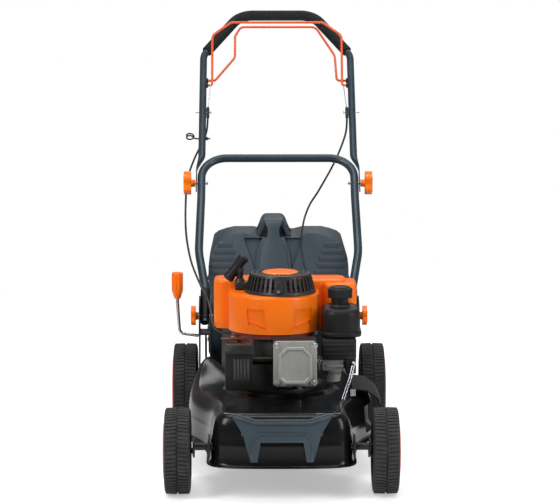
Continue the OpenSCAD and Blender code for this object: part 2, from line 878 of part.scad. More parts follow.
// upper handle with flattened feet and the holes of its studs and bails
module upper_handle() {
  put(slate) difference() {
    union() {
      rod(upper_line, upper_r, 12, [0, 1, 0]);
      translate(on_slope(0, 0, 0)) rotate([handle_slope, 0, 0]) translate([0, 0, -10.5]) linear_extrude(21) {
        for (side = [-1, 1]) {
          polygon([
            [side * 199, -27], [side * 202, -27], [side * 202, 92], [side * 196, 98], [side * 190, 98],
            [side * 190, 73], [side * 199, 62]
          ]);
        }
      }
    }
    across(-210, 210, knob_pivot, stud_r + run);
    for (p = [bail_a_pivot, bail_b_pivot]) {
      at = on_slope(p[0], 0, p[1]);
      across(-187, 187, [at[1], at[2]], pin_r + run);
    }
    guide = on_slope(146, 0, 0);
    across(-210, -150, [guide[1], guide[2]], 2.6);
  }
}

// foam over the grip
module foam_grip() {
  put(black) sleeve(foam_line, foam_d / 2, upper_r + 0.25, 12, [0, 1, 0]);
}

// a point of a bail at x and at distance t from its pivots
function bail_point(pivot, lean, x, t) = on_slope(pivot[0] + t * cos(lean), x, pivot[1] + t * sin(lean));

// a bail through points given as x and t, with the pins of its pivots
module bail(pivot, lean, p, r) {
  at = on_slope(pivot[0], 0, pivot[1]);
  put(red) {
    rod(bent([for (q = p) bail_point(pivot, lean, q[0], q[1])], r, 4), bail_r, 8, [0, 1, 0]);
    for (side = [-1, 1]) {
      across(side * 168, side * 186, [at[1], at[2]], pin_r);
    }
  }
}

// outer bail that holds the engine running
module bail_a() {
  bail(
    bail_a_pivot, bail_a_lean,
    [[173, 0], [165, 0], [165, 138], [117, 174], [-117, 174], [-165, 138], [-165, 0], [-173, 0]],
    [6, 20, 20, 20, 20, 6]
  );
}

// inner bail that engages the wheel drive
module bail_b() {
  bail(
    bail_b_pivot, bail_b_lean,
    [
      [173, 0], [152, 0], [147, 65], [98, 139], [-92, 139], [-107, 115], [-107, 60], [-158, 0], [-173, 0]
    ],
    [8, 25, 20, 15, 12, 20, 10]
  );
}

// a lobed knob with its stud, from x = a outward and with the stud's tip at x = tip
module knob(side, pivot, a, tip, r, h) {
  put(orange) {
    across(side * a, side * (a + h), pivot, r - 7);
    for (i = [0 : 4]) {
      across(side * (a + 5), side * (a + h - 1), pivot + (r - 9) * [cos(72 * i), sin(72 * i)], 9);
    }
    across(side * tip, side * (a + 2), pivot, stud_r);
  }
}

// blocks that hold the ends of the two cables
module cable_clamps() {
  put(black) for (side = [-1, 1]) {
    translate(on_slope(232, side * 174.8, 0)) rotate([handle_slope, 0, 0])
      translate([-3.9, -12, -5]) cube([7.8, 26, 10]);
  }
}

// ring on the upper handle that guides the starter rope
module rope_guide() {
  at = on_slope(146, 0, 0);
  put(steel) {
    translate([-218, at[1], at[2]]) rotate([handle_slope - 90, 0, 0]) rotate_extrude()
      translate([9, 0]) circle(2.4);
    across(-211, -176, [at[1], at[2]], 2.5);
  }
}

// cable from the engine bail to the engine brake
cable_a_line = [
  on_slope(218.2, -174.8, 0), on_slope(175, -180, -19), on_slope(100, -208, -24), on_slope(20, -228, -28),
  [-226, 806, 535], [-225, 750, 484], [-219, 690, 446], [-206, 612, 408], [-182, 520, 368],
  [-166, 460, 346], [-158, 400, 328], [-152, 330, 310], [-132, 280, 303], [-110, 262, 304]
];
// cable from the drive bail to the gearbox
cable_b_line = [
  on_slope(218.2, 174.8, 0), on_slope(175, 170, -19), on_slope(95, 142, -30), [100, 832, 560],
  [76, 790, 528], [60, 725, 492], [54, 650, 446], [64, 585, 400], [100, 520, 330], [132, 500, 250],
  [140, 500, 180], [139, 506, 150], [125, 522, 124]
];

// outer casing of the engine cable
module cable_a() {
  put(black) rod(flowing(cable_a_line, 3), cable_d / 2, 8);
}

// outer casing of the drive cable
module cable_b() {
  put(black) rod(flowing(cable_b_line, 3), cable_d / 2, 8);
}

// the outline of the grass box from the front, inset by t
module box_front(t) {
  w = box_w / 2 - t;
  polygon([
    [-w + 14, 150 + t], [w - 14, 150 + t], [w, 190], [w, 396], [w - 8, 430 - t / 2], [w - 30, 456 - t],
    [88, box_top - t], [-88, box_top - t], [-w + 30, 456 - t], [-w + 8, 430 - t / 2], [-w, 396], [-w, 190]
  ]);
}

// the outline of the grass box from the side, inset by t
module box_side(t) {
  rear = box_y + box_len - t;
  polygon([
    [box_y + t, 150 + t], [box_y + t, slope_low], [slope_y + 0.6 * t, box_top - t], [900, box_top - t],
    [rear - 30, 430 - t], [rear, 300], [rear - 18, 150 + t]
  ]);
}

// the body of the grass box, inset by t
module box_body(t) {
  intersection() {
    side_plate(-box_w, box_w) box_side(t);
    translate([0, 1300, 0]) rotate([90, 0, 0]) linear_extrude(800) box_front(t);
  }
}

// grass box with its mouth, finger recess, carrying handle and ridge
module grass_box() {
  put(grey) {
    difference() {
      box_body(0);
      difference() {
        box_body(box_t);
        block([-62, 748, box_top - 22], [62, 854, box_top + 5]);
      }
      block([-58, 752, box_top - 18], [58, 850, box_top + 5]);
      block([-128, box_y - 8, 192], [38, box_y + 10, 296]);
    }
    side_plate(-15, 15) polygon([
      [704, slope_low + (704 - box_y) * slope_rise - 1], [slope_y - 1, box_top - 2.5], [746, box_top - 0.2],
      [756, box_top + 12], [846, box_top + 12], [856, box_top - 0.2], [885, box_top - 0.2],
      [872, box_top + 25], [738, box_top + 25], [698, slope_low + (704 - box_y) * slope_rise + 5]
    ]);
    side_plate(-34, 34) polygon([
      [742, box_top + 15], [862, box_top + 15], [870, box_top + 25], [736, box_top + 25]
    ]);
  }
}

// flap that rests on the grass box and closes the chute
module rear_flap() {
  up = unit([slope_y - box_y, box_top - slope_low]);
  off = [-up[1], up[0]];
  put(black) difference() {
    union() {
      across(-129, 39, rear_hinge, 6);
      side_plate(-129, 39) polygon([
        rear_hinge + 2 * up - 6 * off, rear_hinge + 96 * up - 6 * off,
        rear_hinge + 96 * up - 3 * off, rear_hinge + 2 * up - 3 * off
      ]);
    }
    across(-140, 50, rear_hinge, 3 + run);
  }
}

// flap over the side opening of the deck
module side_flap() {
  put(black) translate([0, 356, 0]) rotate([90, 0, 0]) difference() {
    union() {
      translate(side_hinge) cylinder(h = 172, r = 6);
      linear_extrude(172) polygon([
        side_hinge + [3, 5], [193, 188], [217, 170], [225, 151], [225, 92], [222, 92], [222, 150],
        [215, 167.5], [192, 184.5], side_hinge + [3, 1]
      ]);
    }
    translate([side_hinge[0], side_hinge[1], -eps]) cylinder(h = 180, r = 3 + run);
  }
}

// cap of the fuel tank
module fuel_cap() {
  put(black) translate([133, 245, 0]) {
    translate([0, 0, cap_z]) cylinder(h = 25, r = 27.5);
    translate([0, 0, cap_z - 13]) cylinder(h = 15, r = 15.8);
  }
}

// cover of the air filter
module air_filter_cover() {
  put(black) difference() {
    union() {
      block([92, 168, 260], [167, 262, 304]);
      block([143, 168, 228], [167, 262, 261]);
    }
    block([95, 171, 263], [164, 270, 301]);
  }
}

// brake lever that the engine cable pulls
module brake_arm() {
  put(steel) translate([0, 0, 303]) linear_extrude(3) difference() {
    strap([-96, 242], [-104, 206], 11);
    translate([-96, 242]) circle(3 + run);
  }
}

deck();
front_handle();
axle_brackets();
handle_brackets();
discharge_chute();
flap_rods();
engine_block();
valve_cover();
engine_bolts();
shroud();
recoil_cover();
recoil_disc();
muffler();
muffler_guard();
carburettor();
fuel_tank();
gearbox();
drive_belt();
crankshaft();
flywheel();
blade_adapter();
blade();
blade_bolt();
recoil_pulley();
recoil_handle();
recoil_rope();
gear_pulley();
drive_shaft();
wheel(1, 0, front_wheel_d / 2, front_wheel_w);  // wheel_front_left
wheel(-1, 0, front_wheel_d / 2, front_wheel_w);  // wheel_front_right
wheel(1, wheelbase, rear_wheel_d / 2, rear_wheel_w);  // wheel_rear_left
wheel(-1, wheelbase, rear_wheel_d / 2, rear_wheel_w);  // wheel_rear_right
hubcap(1, 0, front_wheel_d / 2);  // hubcap_front_left
hubcap(-1, 0, front_wheel_d / 2);  // hubcap_front_right
hubcap(1, wheelbase, rear_wheel_d / 2);  // hubcap_rear_left
hubcap(-1, wheelbase, rear_wheel_d / 2);  // hubcap_rear_right
front_axle();
rear_axle();
height_lever();
lever_grip();
link_rod();
lower_handle();
upper_handle();
foam_grip();
bail_a();
bail_b();
knob(1, knob_pivot, 203, 172, 30, 21);  // knob_upper_left
knob(-1, knob_pivot, 203, 172, 30, 21);  // knob_upper_right
knob(1, low_pivot, 190, 156, 24, 18);  // knob_lower_left
knob(-1, low_pivot, 190, 156, 24, 18);  // knob_lower_right
cable_clamps();
rope_guide();
cable_a();
cable_b();
grass_box();
rear_flap();
side_flap();
fuel_cap();
air_filter_cover();
brake_arm();
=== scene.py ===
"""Looks of a walk-behind rotary lawn mower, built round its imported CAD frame.

Sizes are in metres. Places that follow the CAD source are given in millimetres, with y counted from the
front axle, and turned into places of the frame by mm().
"""
import json
import logging
import math
from contextlib import contextmanager
from dataclasses import dataclass, field
from enum import Enum
from typing import Callable, Iterator, Sequence

import bmesh
import bpy
from mathutils import Matrix, Vector


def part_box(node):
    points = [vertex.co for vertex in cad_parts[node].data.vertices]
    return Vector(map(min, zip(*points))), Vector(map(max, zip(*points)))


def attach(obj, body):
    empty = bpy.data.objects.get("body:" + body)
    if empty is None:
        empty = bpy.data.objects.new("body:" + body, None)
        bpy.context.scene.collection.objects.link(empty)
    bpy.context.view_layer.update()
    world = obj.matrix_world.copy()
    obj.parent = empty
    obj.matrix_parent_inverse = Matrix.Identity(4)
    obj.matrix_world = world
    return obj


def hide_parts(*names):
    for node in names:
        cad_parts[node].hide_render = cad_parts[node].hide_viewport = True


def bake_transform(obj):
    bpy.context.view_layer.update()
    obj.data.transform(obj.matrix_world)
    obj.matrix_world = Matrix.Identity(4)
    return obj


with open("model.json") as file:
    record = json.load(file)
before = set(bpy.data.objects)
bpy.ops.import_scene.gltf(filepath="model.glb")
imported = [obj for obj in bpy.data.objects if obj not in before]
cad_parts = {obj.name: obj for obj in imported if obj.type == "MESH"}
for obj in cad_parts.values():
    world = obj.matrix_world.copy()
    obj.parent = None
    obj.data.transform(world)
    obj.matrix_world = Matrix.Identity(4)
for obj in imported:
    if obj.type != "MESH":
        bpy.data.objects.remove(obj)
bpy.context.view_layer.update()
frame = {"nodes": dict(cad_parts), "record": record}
LOG = logging.getLogger("mower")

Colour = tuple[float, float, float]
Point2 = tuple[float, float]
Point3 = tuple[float, float, float]
Outline = Sequence[tuple[float, float]]
Piece = bpy.types.Object
Socket = bpy.types.NodeSocket

UP = Vector((0, 0, 1))
LEFT = Vector((1, 0, 0))
AHEAD = Vector((0, -1, 0))

FRONT_AXLE_Y = sum(corner.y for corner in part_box("wheel_front_left")) / 2
NODE_BODY = {node: body for body, nodes in frame["record"]["behaviour"]["bodies"].items() for node in nodes}
NODE_SLOT = {part["node"]: part["material_slot"] for part in frame["record"]["subparts"]}

# Places in millimetres that several sub-assemblies share
BLADE_Y = 270.0
CLAMP_X = 174.8
ROPE: Point2 = (-91.0, 298.0)


def mm(x: float, y: float, z: float) -> Vector:
    """A place given in millimetres, with y counted from the front axle, in the frame."""
    return Vector((x / 1000, y / 1000 + FRONT_AXLE_Y, z / 1000))


class Plane(Enum):
    """The plane that an outline lies in, with the axis along which it is extruded."""

    FRONT = "y"
    SIDE = "x"
    TOP = "z"


# Modelling bench


def deselect() -> None:
    """Leave edit mode and deselect everything."""
    if bpy.context.object is not None and bpy.context.object.mode != "OBJECT":
        bpy.ops.object.mode_set(mode="OBJECT")
    bpy.ops.object.select_all(action="DESELECT")


def make_active(piece: Piece) -> None:
    """Select only this piece and make it the active one.

    Args:
        piece: the piece that the next operators act on.
    """
    deselect()
    piece.select_set(True)
    bpy.context.view_layer.objects.active = piece


@contextmanager
def edit_mode(piece: Piece) -> Iterator[None]:
    """Edit mode on one piece for the length of a with block.

    Args:
        piece: the piece to edit.
    """
    make_active(piece)
    bpy.ops.object.mode_set(mode="EDIT")
    yield
    bpy.ops.object.mode_set(mode="OBJECT")


def pick_facing(piece: Piece, direction: Vector) -> None:
    """Select, in edit mode, the faces that look along a direction.

    Args:
        piece: the piece in edit mode.
        direction: a unit vector.
    """
    bpy.ops.mesh.select_mode(type="FACE")
    bpy.ops.mesh.select_all(action="DESELECT")
    for face in bmesh.from_edit_mesh(piece.data).faces:
        face.select_set(face.normal.dot(direction) > 0.9)
    bmesh.update_edit_mesh(piece.data)


def apply_modifier(piece: Piece, kind: str, **settings: object) -> None:
    """Add a modifier with its settings and apply it.

    Args:
        piece: the piece that is changed.
        kind: Blender's name of the modifier.
        settings: values of the modifier's properties.
    """
    make_active(piece)
    modifier = piece.modifiers.new(kind.title(), kind)
    for key, value in settings.items():
        setattr(modifier, key, value)
    bpy.ops.object.modifier_apply(modifier=modifier.name)


def round_edges(piece: Piece, width: float, segments: int = 3, angle: float = 32.0) -> None:
    """Round every edge that is sharper than an angle in degrees, with a width in metres."""
    limit = {"limit_method": "ANGLE", "angle_limit": math.radians(angle)}
    apply_modifier(piece, "BEVEL", width=width, segments=segments, **limit)


def tidy_mesh(piece: Piece, merge: float = 1e-6) -> None:
    """Merge double points and turn every face outwards.

    Args:
        piece: the piece that is mended.
        merge: points nearer than this become one.
    """
    with edit_mode(piece):
        bpy.ops.mesh.select_all(action="SELECT")
        bpy.ops.mesh.remove_doubles(threshold=merge)
        bpy.ops.mesh.normals_make_consistent(inside=False)


def join(pieces: Sequence[Piece], name: str) -> Piece:
    """Join several pieces into one.

    Args:
        pieces: what is joined.
        name: the name of the joined piece.

    Returns:
        The joined piece.
    """
    make_active(pieces[0])
    for piece in pieces:
        piece.select_set(True)
    if len(pieces) > 1:
        bpy.ops.object.join()
    pieces[0].name = name
    return pieces[0]


def cut(piece: Piece, *cutters: Piece, operation: str = "DIFFERENCE") -> None:
    """Cut a piece with others, one after the other, which uses them up.

    Args:
        piece: the piece that is cut.
        cutters: the cutting pieces.
        operation: DIFFERENCE, UNION or INTERSECT.
    """
    for cutter in cutters:
        apply_modifier(piece, "BOOLEAN", object=cutter, operation=operation, solver="EXACT")
        bpy.data.objects.remove(cutter)


def copied(piece: Piece, name: str, matrix: Matrix) -> Piece:
    """A copy of a piece with its own mesh, moved by a matrix.

    Args:
        piece: the model.
        name: the name of the copy.
        matrix: the movement, which goes into the copy's mesh.

    Returns:
        The copy.
    """
    twin = bpy.data.objects.new(name, piece.data.copy())
    bpy.context.scene.collection.objects.link(twin)
    twin.data.transform(matrix)
    if matrix.determinant() < 0:
        twin.data.flip_normals()
    return twin


def repeated(model: Piece, moves: Sequence[Matrix]) -> list[Piece]:
    """One copy of a model for each movement, which uses the model up.

    Args:
        model: what is repeated.
        moves: the movement of each copy.

    Returns:
        The copies.
    """
    copies = [copied(model, "copy", move) for move in moves]
    bpy.data.objects.remove(model)
    return copies


def turned(angle: float, axis: str, centre: Vector) -> Matrix:
    """A turn by an angle in radians about an axis through a point."""
    return Matrix.Translation(centre) @ Matrix.Rotation(angle, 4, axis) @ Matrix.Translation(-centre)


def angles(count: int, shift: float = 0.0) -> list[float]:
    """Angles evenly round a full turn, shifted by a share of the gap between two."""
    return [2 * math.pi * (i + shift) / count for i in range(count)]


def spun(angle: float) -> Matrix:
    """A turn by an angle in radians about the z axis."""
    return Matrix.Rotation(angle, 4, "Z")


def stood(foot: Vector, axis: Vector) -> Matrix:
    """The movement of a piece that stands on z at the origin to a foot, along an axis."""
    return Matrix.Translation(foot) @ UP.rotation_difference(axis.normalized()).to_matrix().to_4x4()


def mirrored(piece: Piece, name: str) -> Piece:
    """The mirror image of a piece on the other side of the mower."""
    return copied(piece, name, Matrix.Scale(-1, 4, LEFT))


def both_sides(half: Sequence[Vector]) -> list[Vector]:
    """A line that goes on along its own mirror image on the other side of the mower."""
    return list(half) + [Vector((-p.x, p.y, p.z)) for p in reversed(half)]


def symmetric(half: Outline, middle: float = 0.0, base: float = 0.0) -> list[Point2]:
    """An outline that goes on along its mirror image, counted from a middle line and a base."""
    return [(middle + x, base + z) for x, z in half] + [(middle - x, base + z) for x, z in reversed(half)]


def bent(half: Sequence[Vector], radii: Sequence[float], steps: int = 8) -> list[Vector]:
    """A line that goes on along its mirror image, with corners of the radii that one half has."""
    return fillet(both_sides(half), [*radii, *reversed(radii)], steps)


def smooth_step(value: float) -> float:
    """A smooth rise from 0 to 1."""
    t = min(1.0, max(0.0, value))
    return t * t * (3 - 2 * t)


def fillet(line: Sequence[Vector], radii: Sequence[float], steps: int = 8) -> list[Vector]:
    """A line of points with its inner corners rounded.

    Args:
        line: the corner points.
        radii: one radius for each inner corner.
        steps: stretches on each arc.

    Returns:
        The points of the rounded line.
    """
    points = [line[0].copy()]
    for before, corner, after, radius in zip(line, line[1:], line[2:], radii):
        back = (before - corner).normalized()
        ahead = (after - corner).normalized()
        half = back.angle(ahead) / 2
        if half > math.pi / 2 - 1e-3:
            points.append(corner.copy())
            continue
        middle = corner + (back + ahead).normalized() * radius / math.sin(half)
        first = corner + back * radius / math.tan(half) - middle
        last = corner + ahead * radius / math.tan(half) - middle
        points += [middle + first.slerp(last, step / steps) * first.length for step in range(steps + 1)]
    points.append(line[-1].copy())
    return points


def flowing(line: Sequence[Vector], steps: int) -> list[Vector]:
    """A smooth line through points.

    Args:
        line: the points that the line passes.
        steps: stretches between two of them.

    Returns:
        The points of the smooth line.
    """
    points: list[Vector] = []
    for i in range(len(line) - 1):
        a, b, c, d = line[max(i - 1, 0)], line[i], line[i + 1], line[min(i + 2, len(line) - 1)]
        square = 2 * a - 5 * b + 4 * c - d
        cube = 3 * b - a - 3 * c + d
        for k in range(steps):
            t = k / steps
            points.append((2 * b + (c - a) * t + square * t**2 + cube * t**3) / 2)
    points.append(line[-1].copy())
    return points


def round_outline(outline: Outline, radius: float, steps: int = 5) -> list[Point2]:
    """A closed flat outline with every corner rounded by the same radius.

    Args:
        outline: the corners.
        radius: the radius of each corner.
        steps: stretches on each arc.

    Returns:
        The points of the rounded outline.
    """
    flat = [Vector((x, y, 0)) for x, y in outline]
    ring = [flat[-1], *flat, flat[0]]
    points = fillet(ring, [radius] * len(flat), steps)[1:-1]
    return [(p.x, p.y) for p in points]


def round_rectangle(low: Point2, high: Point2, radius: float, steps: int = 5) -> list[Point2]:
    """An upright rectangle between two corners, with every corner rounded."""
    return round_outline([low, (high[0], low[1]), high, (low[0], high[1])], radius, steps)


def tube(name: str, line: Sequence[Vector], radius: float, fineness: int = 5) -> Piece:
    """A round bar along a line of points, with closed ends.

    Args:
        name: the piece's name.
        line: the points of its middle line.
        radius: its radius in millimetres.
        fineness: how finely its section is rounded.

    Returns:
        The bar as a mesh.
    """
    curve = bpy.data.curves.new(name, "CURVE")
    curve.dimensions = "3D"
    curve.bevel_depth = radius / 1000
    curve.bevel_resolution = fineness
    curve.use_fill_caps = True
    spline = curve.splines.new("POLY")
    spline.points.add(len(line) - 1)
    for point, place in zip(spline.points, line):
        point.co = (*place, 1.0)
    piece = bpy.data.objects.new(name, curve)
    bpy.context.scene.collection.objects.link(piece)
    make_active(piece)
    bpy.ops.object.convert(target="MESH")
    tidy_mesh(bpy.context.object)
    return bpy.context.object


def prism(name: str, outline: Outline, plane: Plane, low: float, high: float) -> Piece:
    """A flat outline in millimetres, extruded along the axis of its plane.

    Args:
        name: the piece's name.
        outline: (x, z) in the front plane, (y, z) in the side plane, (x, y) in the top plane.
        plane: the plane of the outline.
        low: where the extrusion starts.
        high: where it ends.

    Returns:
        The extruded piece.
    """
    axis = "xyz".index(plane.value)
    deselect()
    bpy.ops.mesh.primitive_circle_add(vertices=len(outline), fill_type="NGON")
    piece = bpy.context.object
    piece.name = name
    for vertex, point in zip(piece.data.vertices, outline):
        vertex.co = mm(*point[:axis], low, *point[axis:])
    step = [0.0, 0.0, 0.0]
    step[axis] = (high - low) / 1000
    with edit_mode(piece):
        bpy.ops.mesh.select_all(action="SELECT")
        bpy.ops.mesh.extrude_region_move(TRANSFORM_OT_translate={"value": step})
        bpy.ops.mesh.select_all(action="SELECT")
        bpy.ops.mesh.normals_make_consistent(inside=False)
    return piece


def block(name: str, low: Point3, high: Point3, rounding: float = 0.0) -> Piece:
    """A box between two corners in millimetres, with rounded edges.

    Args:
        name: the piece's name.
        low: its lowest corner.
        high: its highest corner.
        rounding: the width of its rounded edges in millimetres.

    Returns:
        The box.
    """
    deselect()
    a, b = mm(*low), mm(*high)
    bpy.ops.mesh.primitive_cube_add(size=1, location=(a + b) / 2)
    piece = bpy.context.object
    piece.name = name
    piece.scale = b - a
    bpy.ops.object.transform_apply(location=True, rotation=True, scale=True)
    if rounding:
        round_edges(piece, rounding / 1000)
    return piece


def shaped_box(corner: Callable[[bool, bool, bool], Point3]) -> Piece:
    """A box at the origin with every corner put in its own place.

    Args:
        corner: takes whether a corner is on the high side in x, y and z, and gives its place in millimetres.

    Returns:
        The box.
    """
    deselect()
    bpy.ops.mesh.primitive_cube_add(size=1)
    piece = bpy.context.object
    for vertex in piece.data.vertices:
        vertex.co = Vector(corner(*(c > 0 for c in vertex.co))) / 1000
    return piece


def lathe(name: str, profile: Outline, foot: Vector, axis: Vector, steps: int = 64) -> Piece:
    """A turned piece.

    Args:
        name: the piece's name.
        profile: (radius, height) in millimetres; open from axis to axis, otherwise a closed loop.
        foot: the place of height zero on the axis.
        axis: the direction of the axis.
        steps: stretches round the axis.

    Returns:
        The turned piece.
    """
    deselect()
    bpy.ops.mesh.primitive_circle_add(vertices=len(profile), fill_type="NOTHING")
    piece = bpy.context.object
    piece.name = name
    for vertex, (radius, height) in zip(piece.data.vertices, profile):
        vertex.co = (radius / 1000, 0, height / 1000)
    with edit_mode(piece):
        if profile[0][0] == 0 and profile[-1][0] == 0:
            cage = bmesh.from_edit_mesh(piece.data)
            ends = {0, len(profile) - 1}
            closing = [edge for edge in cage.edges if {v.index for v in edge.verts} == ends]
            bmesh.ops.delete(cage, geom=closing, context="EDGES")
            bmesh.update_edit_mesh(piece.data)
        bpy.ops.mesh.select_all(action="SELECT")
        bpy.ops.mesh.spin(steps=steps, angle=2 * math.pi, center=(0, 0, 0), axis=UP)
    tidy_mesh(piece)
    piece.data.transform(stood(foot, axis))
    return piece


def pin_profile(radius: float, length: float, rounding: float = 0.6) -> list[Point2]:
    """The profile of a round pin in millimetres, with softened ends."""
    e = min(rounding, radius / 3)
    return [(0, 0), (radius - e, 0), (radius, e), (radius, length - e), (radius - e, length), (0, length)]


def across(name: str, low: float, high: float, place: Point2, radius: float, rounding: float = 0.6) -> Piece:
    """A round pin along x in millimetres, from low to high at a (y, z) place, with softened ends."""
    return lathe(name, pin_profile(radius, high - low, rounding), mm(low, *place), LEFT, 32)


def pin_pair(inner: float, outer: float, place: Point2, radius: float, rounding: float = 0.6) -> list[Piece]:
    """A round pin along x on each side of the mower, between two distances from its middle."""
    return [across("pin", a, b, place, radius, rounding) for a, b in ((-outer, -inner), (inner, outer))]


def drill(radius: float, length: float, foot: Vector, steps: int) -> Piece:
    """An upright round cutter, with its radius and length in millimetres."""
    return lathe("drill", [(0, 0), (radius, 0), (radius, length), (0, length)], foot, UP, steps)


def softened(node: str, width: float, segments: int = 2) -> Piece:
    """A copy of a CAD node with its sharp edges rounded.

    Args:
        node: the node's name.
        width: the width of the rounded edges in metres.
        segments: faces across each edge.

    Returns:
        The copy, which isn't dressed yet.
    """
    piece = copied(frame["nodes"][node], node + "_body", Matrix.Identity(4))
    piece.data.materials.clear()
    with edit_mode(piece):
        bpy.ops.mesh.select_all(action="SELECT")
        bpy.ops.mesh.remove_doubles(threshold=1e-5)
        bpy.ops.mesh.dissolve_limited(angle_limit=math.radians(1))
    round_edges(piece, width, segments)
    return piece


# Finishes


def display(red: float, green: float, blue: float) -> Colour:
    """A colour given as it looks on a screen, from 0 to 255, as linear light."""
    channels = [value / 255 for value in (red, green, blue)]
    return tuple(c / 12.92 if c <= 0.04045 else ((c + 0.055) / 1.055) ** 2.4 for c in channels)


class Graph:
    """The node tree of a material or of the world, filled by short calls."""

    def __init__(self, owner: bpy.types.ID) -> None:
        """Turn on the owner's nodes and add its coordinates.

        Args:
            owner: the material or world.
        """
        self.owner = owner
        owner.use_nodes = True
        self.tree = owner.node_tree
        self.coordinates = self.add("ShaderNodeTexCoord").outputs
        self.place = self.coordinates["Object"]

    def add(self, kind: str, **settings: object) -> bpy.types.Node:
        """Add a node; settings name its properties or its input sockets.

        Args:
            kind: the node's type.
            settings: values, with a space in a socket's name written as an underscore.

        Returns:
            The new node.
        """
        node = self.tree.nodes.new(kind)
        for key, value in settings.items():
            if hasattr(node, key):
                setattr(node, key, value)
            else:
                self.plug(value, node.inputs[key.replace("_", " ")])
        return node

    def plug(self, value: object, socket: Socket) -> None:
        """Put a value or another node's output on a socket.

        Args:
            value: a number, a colour or an output.
            socket: the input that gets it.
        """
        if isinstance(value, Socket):
            self.tree.links.new(value, socket)
        elif socket.type == "RGBA":
            socket.default_value = (*value, 1.0)
        else:
            socket.default_value = value

    def feed(self, node: bpy.types.Node, values: dict[int, object]) -> bpy.types.Node:
        """Put values or outputs on a node's numbered inputs.

        Args:
            node: the node that gets them.
            values: each value by the number of its input.

        Returns:
            The same node.
        """
        for number, value in values.items():
            self.plug(value, node.inputs[number])
        return node

    def noise(self, size: float, detail: float = 3.0, stretch: Colour = (1, 1, 1)) -> Socket:
        """Noise whose spots are of a size in metres, stretched along the axes."""
        place = self.add("ShaderNodeMapping", Vector=self.place, Scale=stretch).outputs[0]
        return self.add("ShaderNodeTexNoise", Vector=place, Scale=1 / size, Detail=detail).outputs[0]

    def cells(self, size: float) -> Socket:
        """Round cells of a size in metres, side by side."""
        return self.add("ShaderNodeTexVoronoi", Vector=self.place, Scale=1 / size).outputs[0]

    def ramp(self, value: Socket, low: float, high: float, start: float = 0, stop: float = 1) -> Socket:
        """A value spread smoothly from start, where it is low, to stop, where it is high."""
        spread = {"From_Min": low, "From_Max": high, "To_Min": start, "To_Max": stop, "Value": value}
        return self.add("ShaderNodeMapRange", interpolation_type="SMOOTHSTEP", **spread).outputs[0]

    def span(self, value: Socket, low: float, high: float) -> Socket:
        """A value from 0 to 1 turned into one from low to high."""
        return self.add("ShaderNodeMapRange", Value=value, To_Min=low, To_Max=high).outputs[0]

    def combine(self, operation: str, a: Socket, b: object) -> Socket:
        """Two values combined by one of Blender's math operations."""
        return self.feed(self.add("ShaderNodeMath", operation=operation), {0: a, 1: b}).outputs[0]

    def times(self, a: Socket, b: object) -> Socket:
        """The product of two values."""
        return self.combine("MULTIPLY", a, b)

    def mix(self, share: Socket, a: object, b: object) -> Socket:
        """The colour between two others, the first where the share is 0."""
        return self.feed(self.add("ShaderNodeMix", data_type="RGBA"), {0: share, 6: a, 7: b}).outputs[2]

    def patches(self, size: float, detail: float, low: float, high: float) -> Socket:
        """Smooth patches of a size in metres, from 0 where the noise is low to 1 where it is high."""
        return self.ramp(self.noise(size, detail), low, high)

    def over(self, tone: Socket, mask: Socket, share: float, colour: Colour) -> Socket:
        """A tone with a share of a screen colour laid over it where a mask is 1."""
        return self.mix(self.times(mask, share), tone, display(*colour))

    def upward(self) -> Socket:
        """How far the surface faces up, from 0 to 1."""
        normal = self.add("ShaderNodeNewGeometry").outputs["Normal"]
        return self.ramp(self.add("ShaderNodeSeparateXYZ", Vector=normal).outputs[2], 0.35, 0.95)

    def edges(self, reach: float) -> Socket:
        """How near the surface is to an outer edge, from 0 to 1."""
        pointed = self.add("ShaderNodeNewGeometry").outputs["Pointiness"]
        return self.ramp(pointed, 0.5 + reach, 0.56 + reach)


@dataclass(frozen=True)
class Finish:
    """A surface whose screen colour drifts a little, with uneven gloss and a fine grain."""

    name: str
    colour: Colour
    drift: Colour
    gloss: Point2 = (0.3, 0.45)
    drift_size: float = 0.12
    grain_size: float = 0.0012
    grain_depth: float = 0.12
    metallic: float = 0.0
    coat: float = 0.0
    coat_dullness: float = 0.08
    specular: float = 0.4

    def material(self) -> bpy.types.Material:
        """The finish as a Blender material, made once.

        Returns:
            The material, which keeps clear of the slot's own name.
        """
        title = self.name + "_surface"
        found = bpy.data.materials.get(title)
        if found is not None:
            return found
        graph = Graph(bpy.data.materials.new(title))
        grain = {"Height": self.relief(graph), "Strength": self.grain_depth, "Distance": self.grain_size}
        shader = graph.tree.nodes["Principled BSDF"].inputs
        for socket, value in (
            ("Metallic", self.metallic), ("Coat Weight", self.coat), ("Coat Roughness", self.coat_dullness),
            ("Specular IOR Level", self.specular), ("Base Color", self.tone(graph)),
            ("Roughness", self.roughness(graph)), ("Normal", graph.add("ShaderNodeBump", **grain).outputs[0]),
        ):
            graph.plug(value, shader[socket])
        return graph.owner

    def tone(self, graph: Graph) -> Socket:
        """The colour of the surface."""
        drift = graph.patches(self.drift_size, 4, 0.3, 0.7)
        return graph.mix(drift, display(*self.colour), display(*self.drift))

    def roughness(self, graph: Graph) -> Socket:
        """How dull the surface is."""
        return graph.span(graph.noise(self.drift_size / 6, 5), *self.gloss)

    def relief(self, graph: Graph) -> Socket:
        """The height of the grain."""
        return graph.noise(self.grain_size, 2)


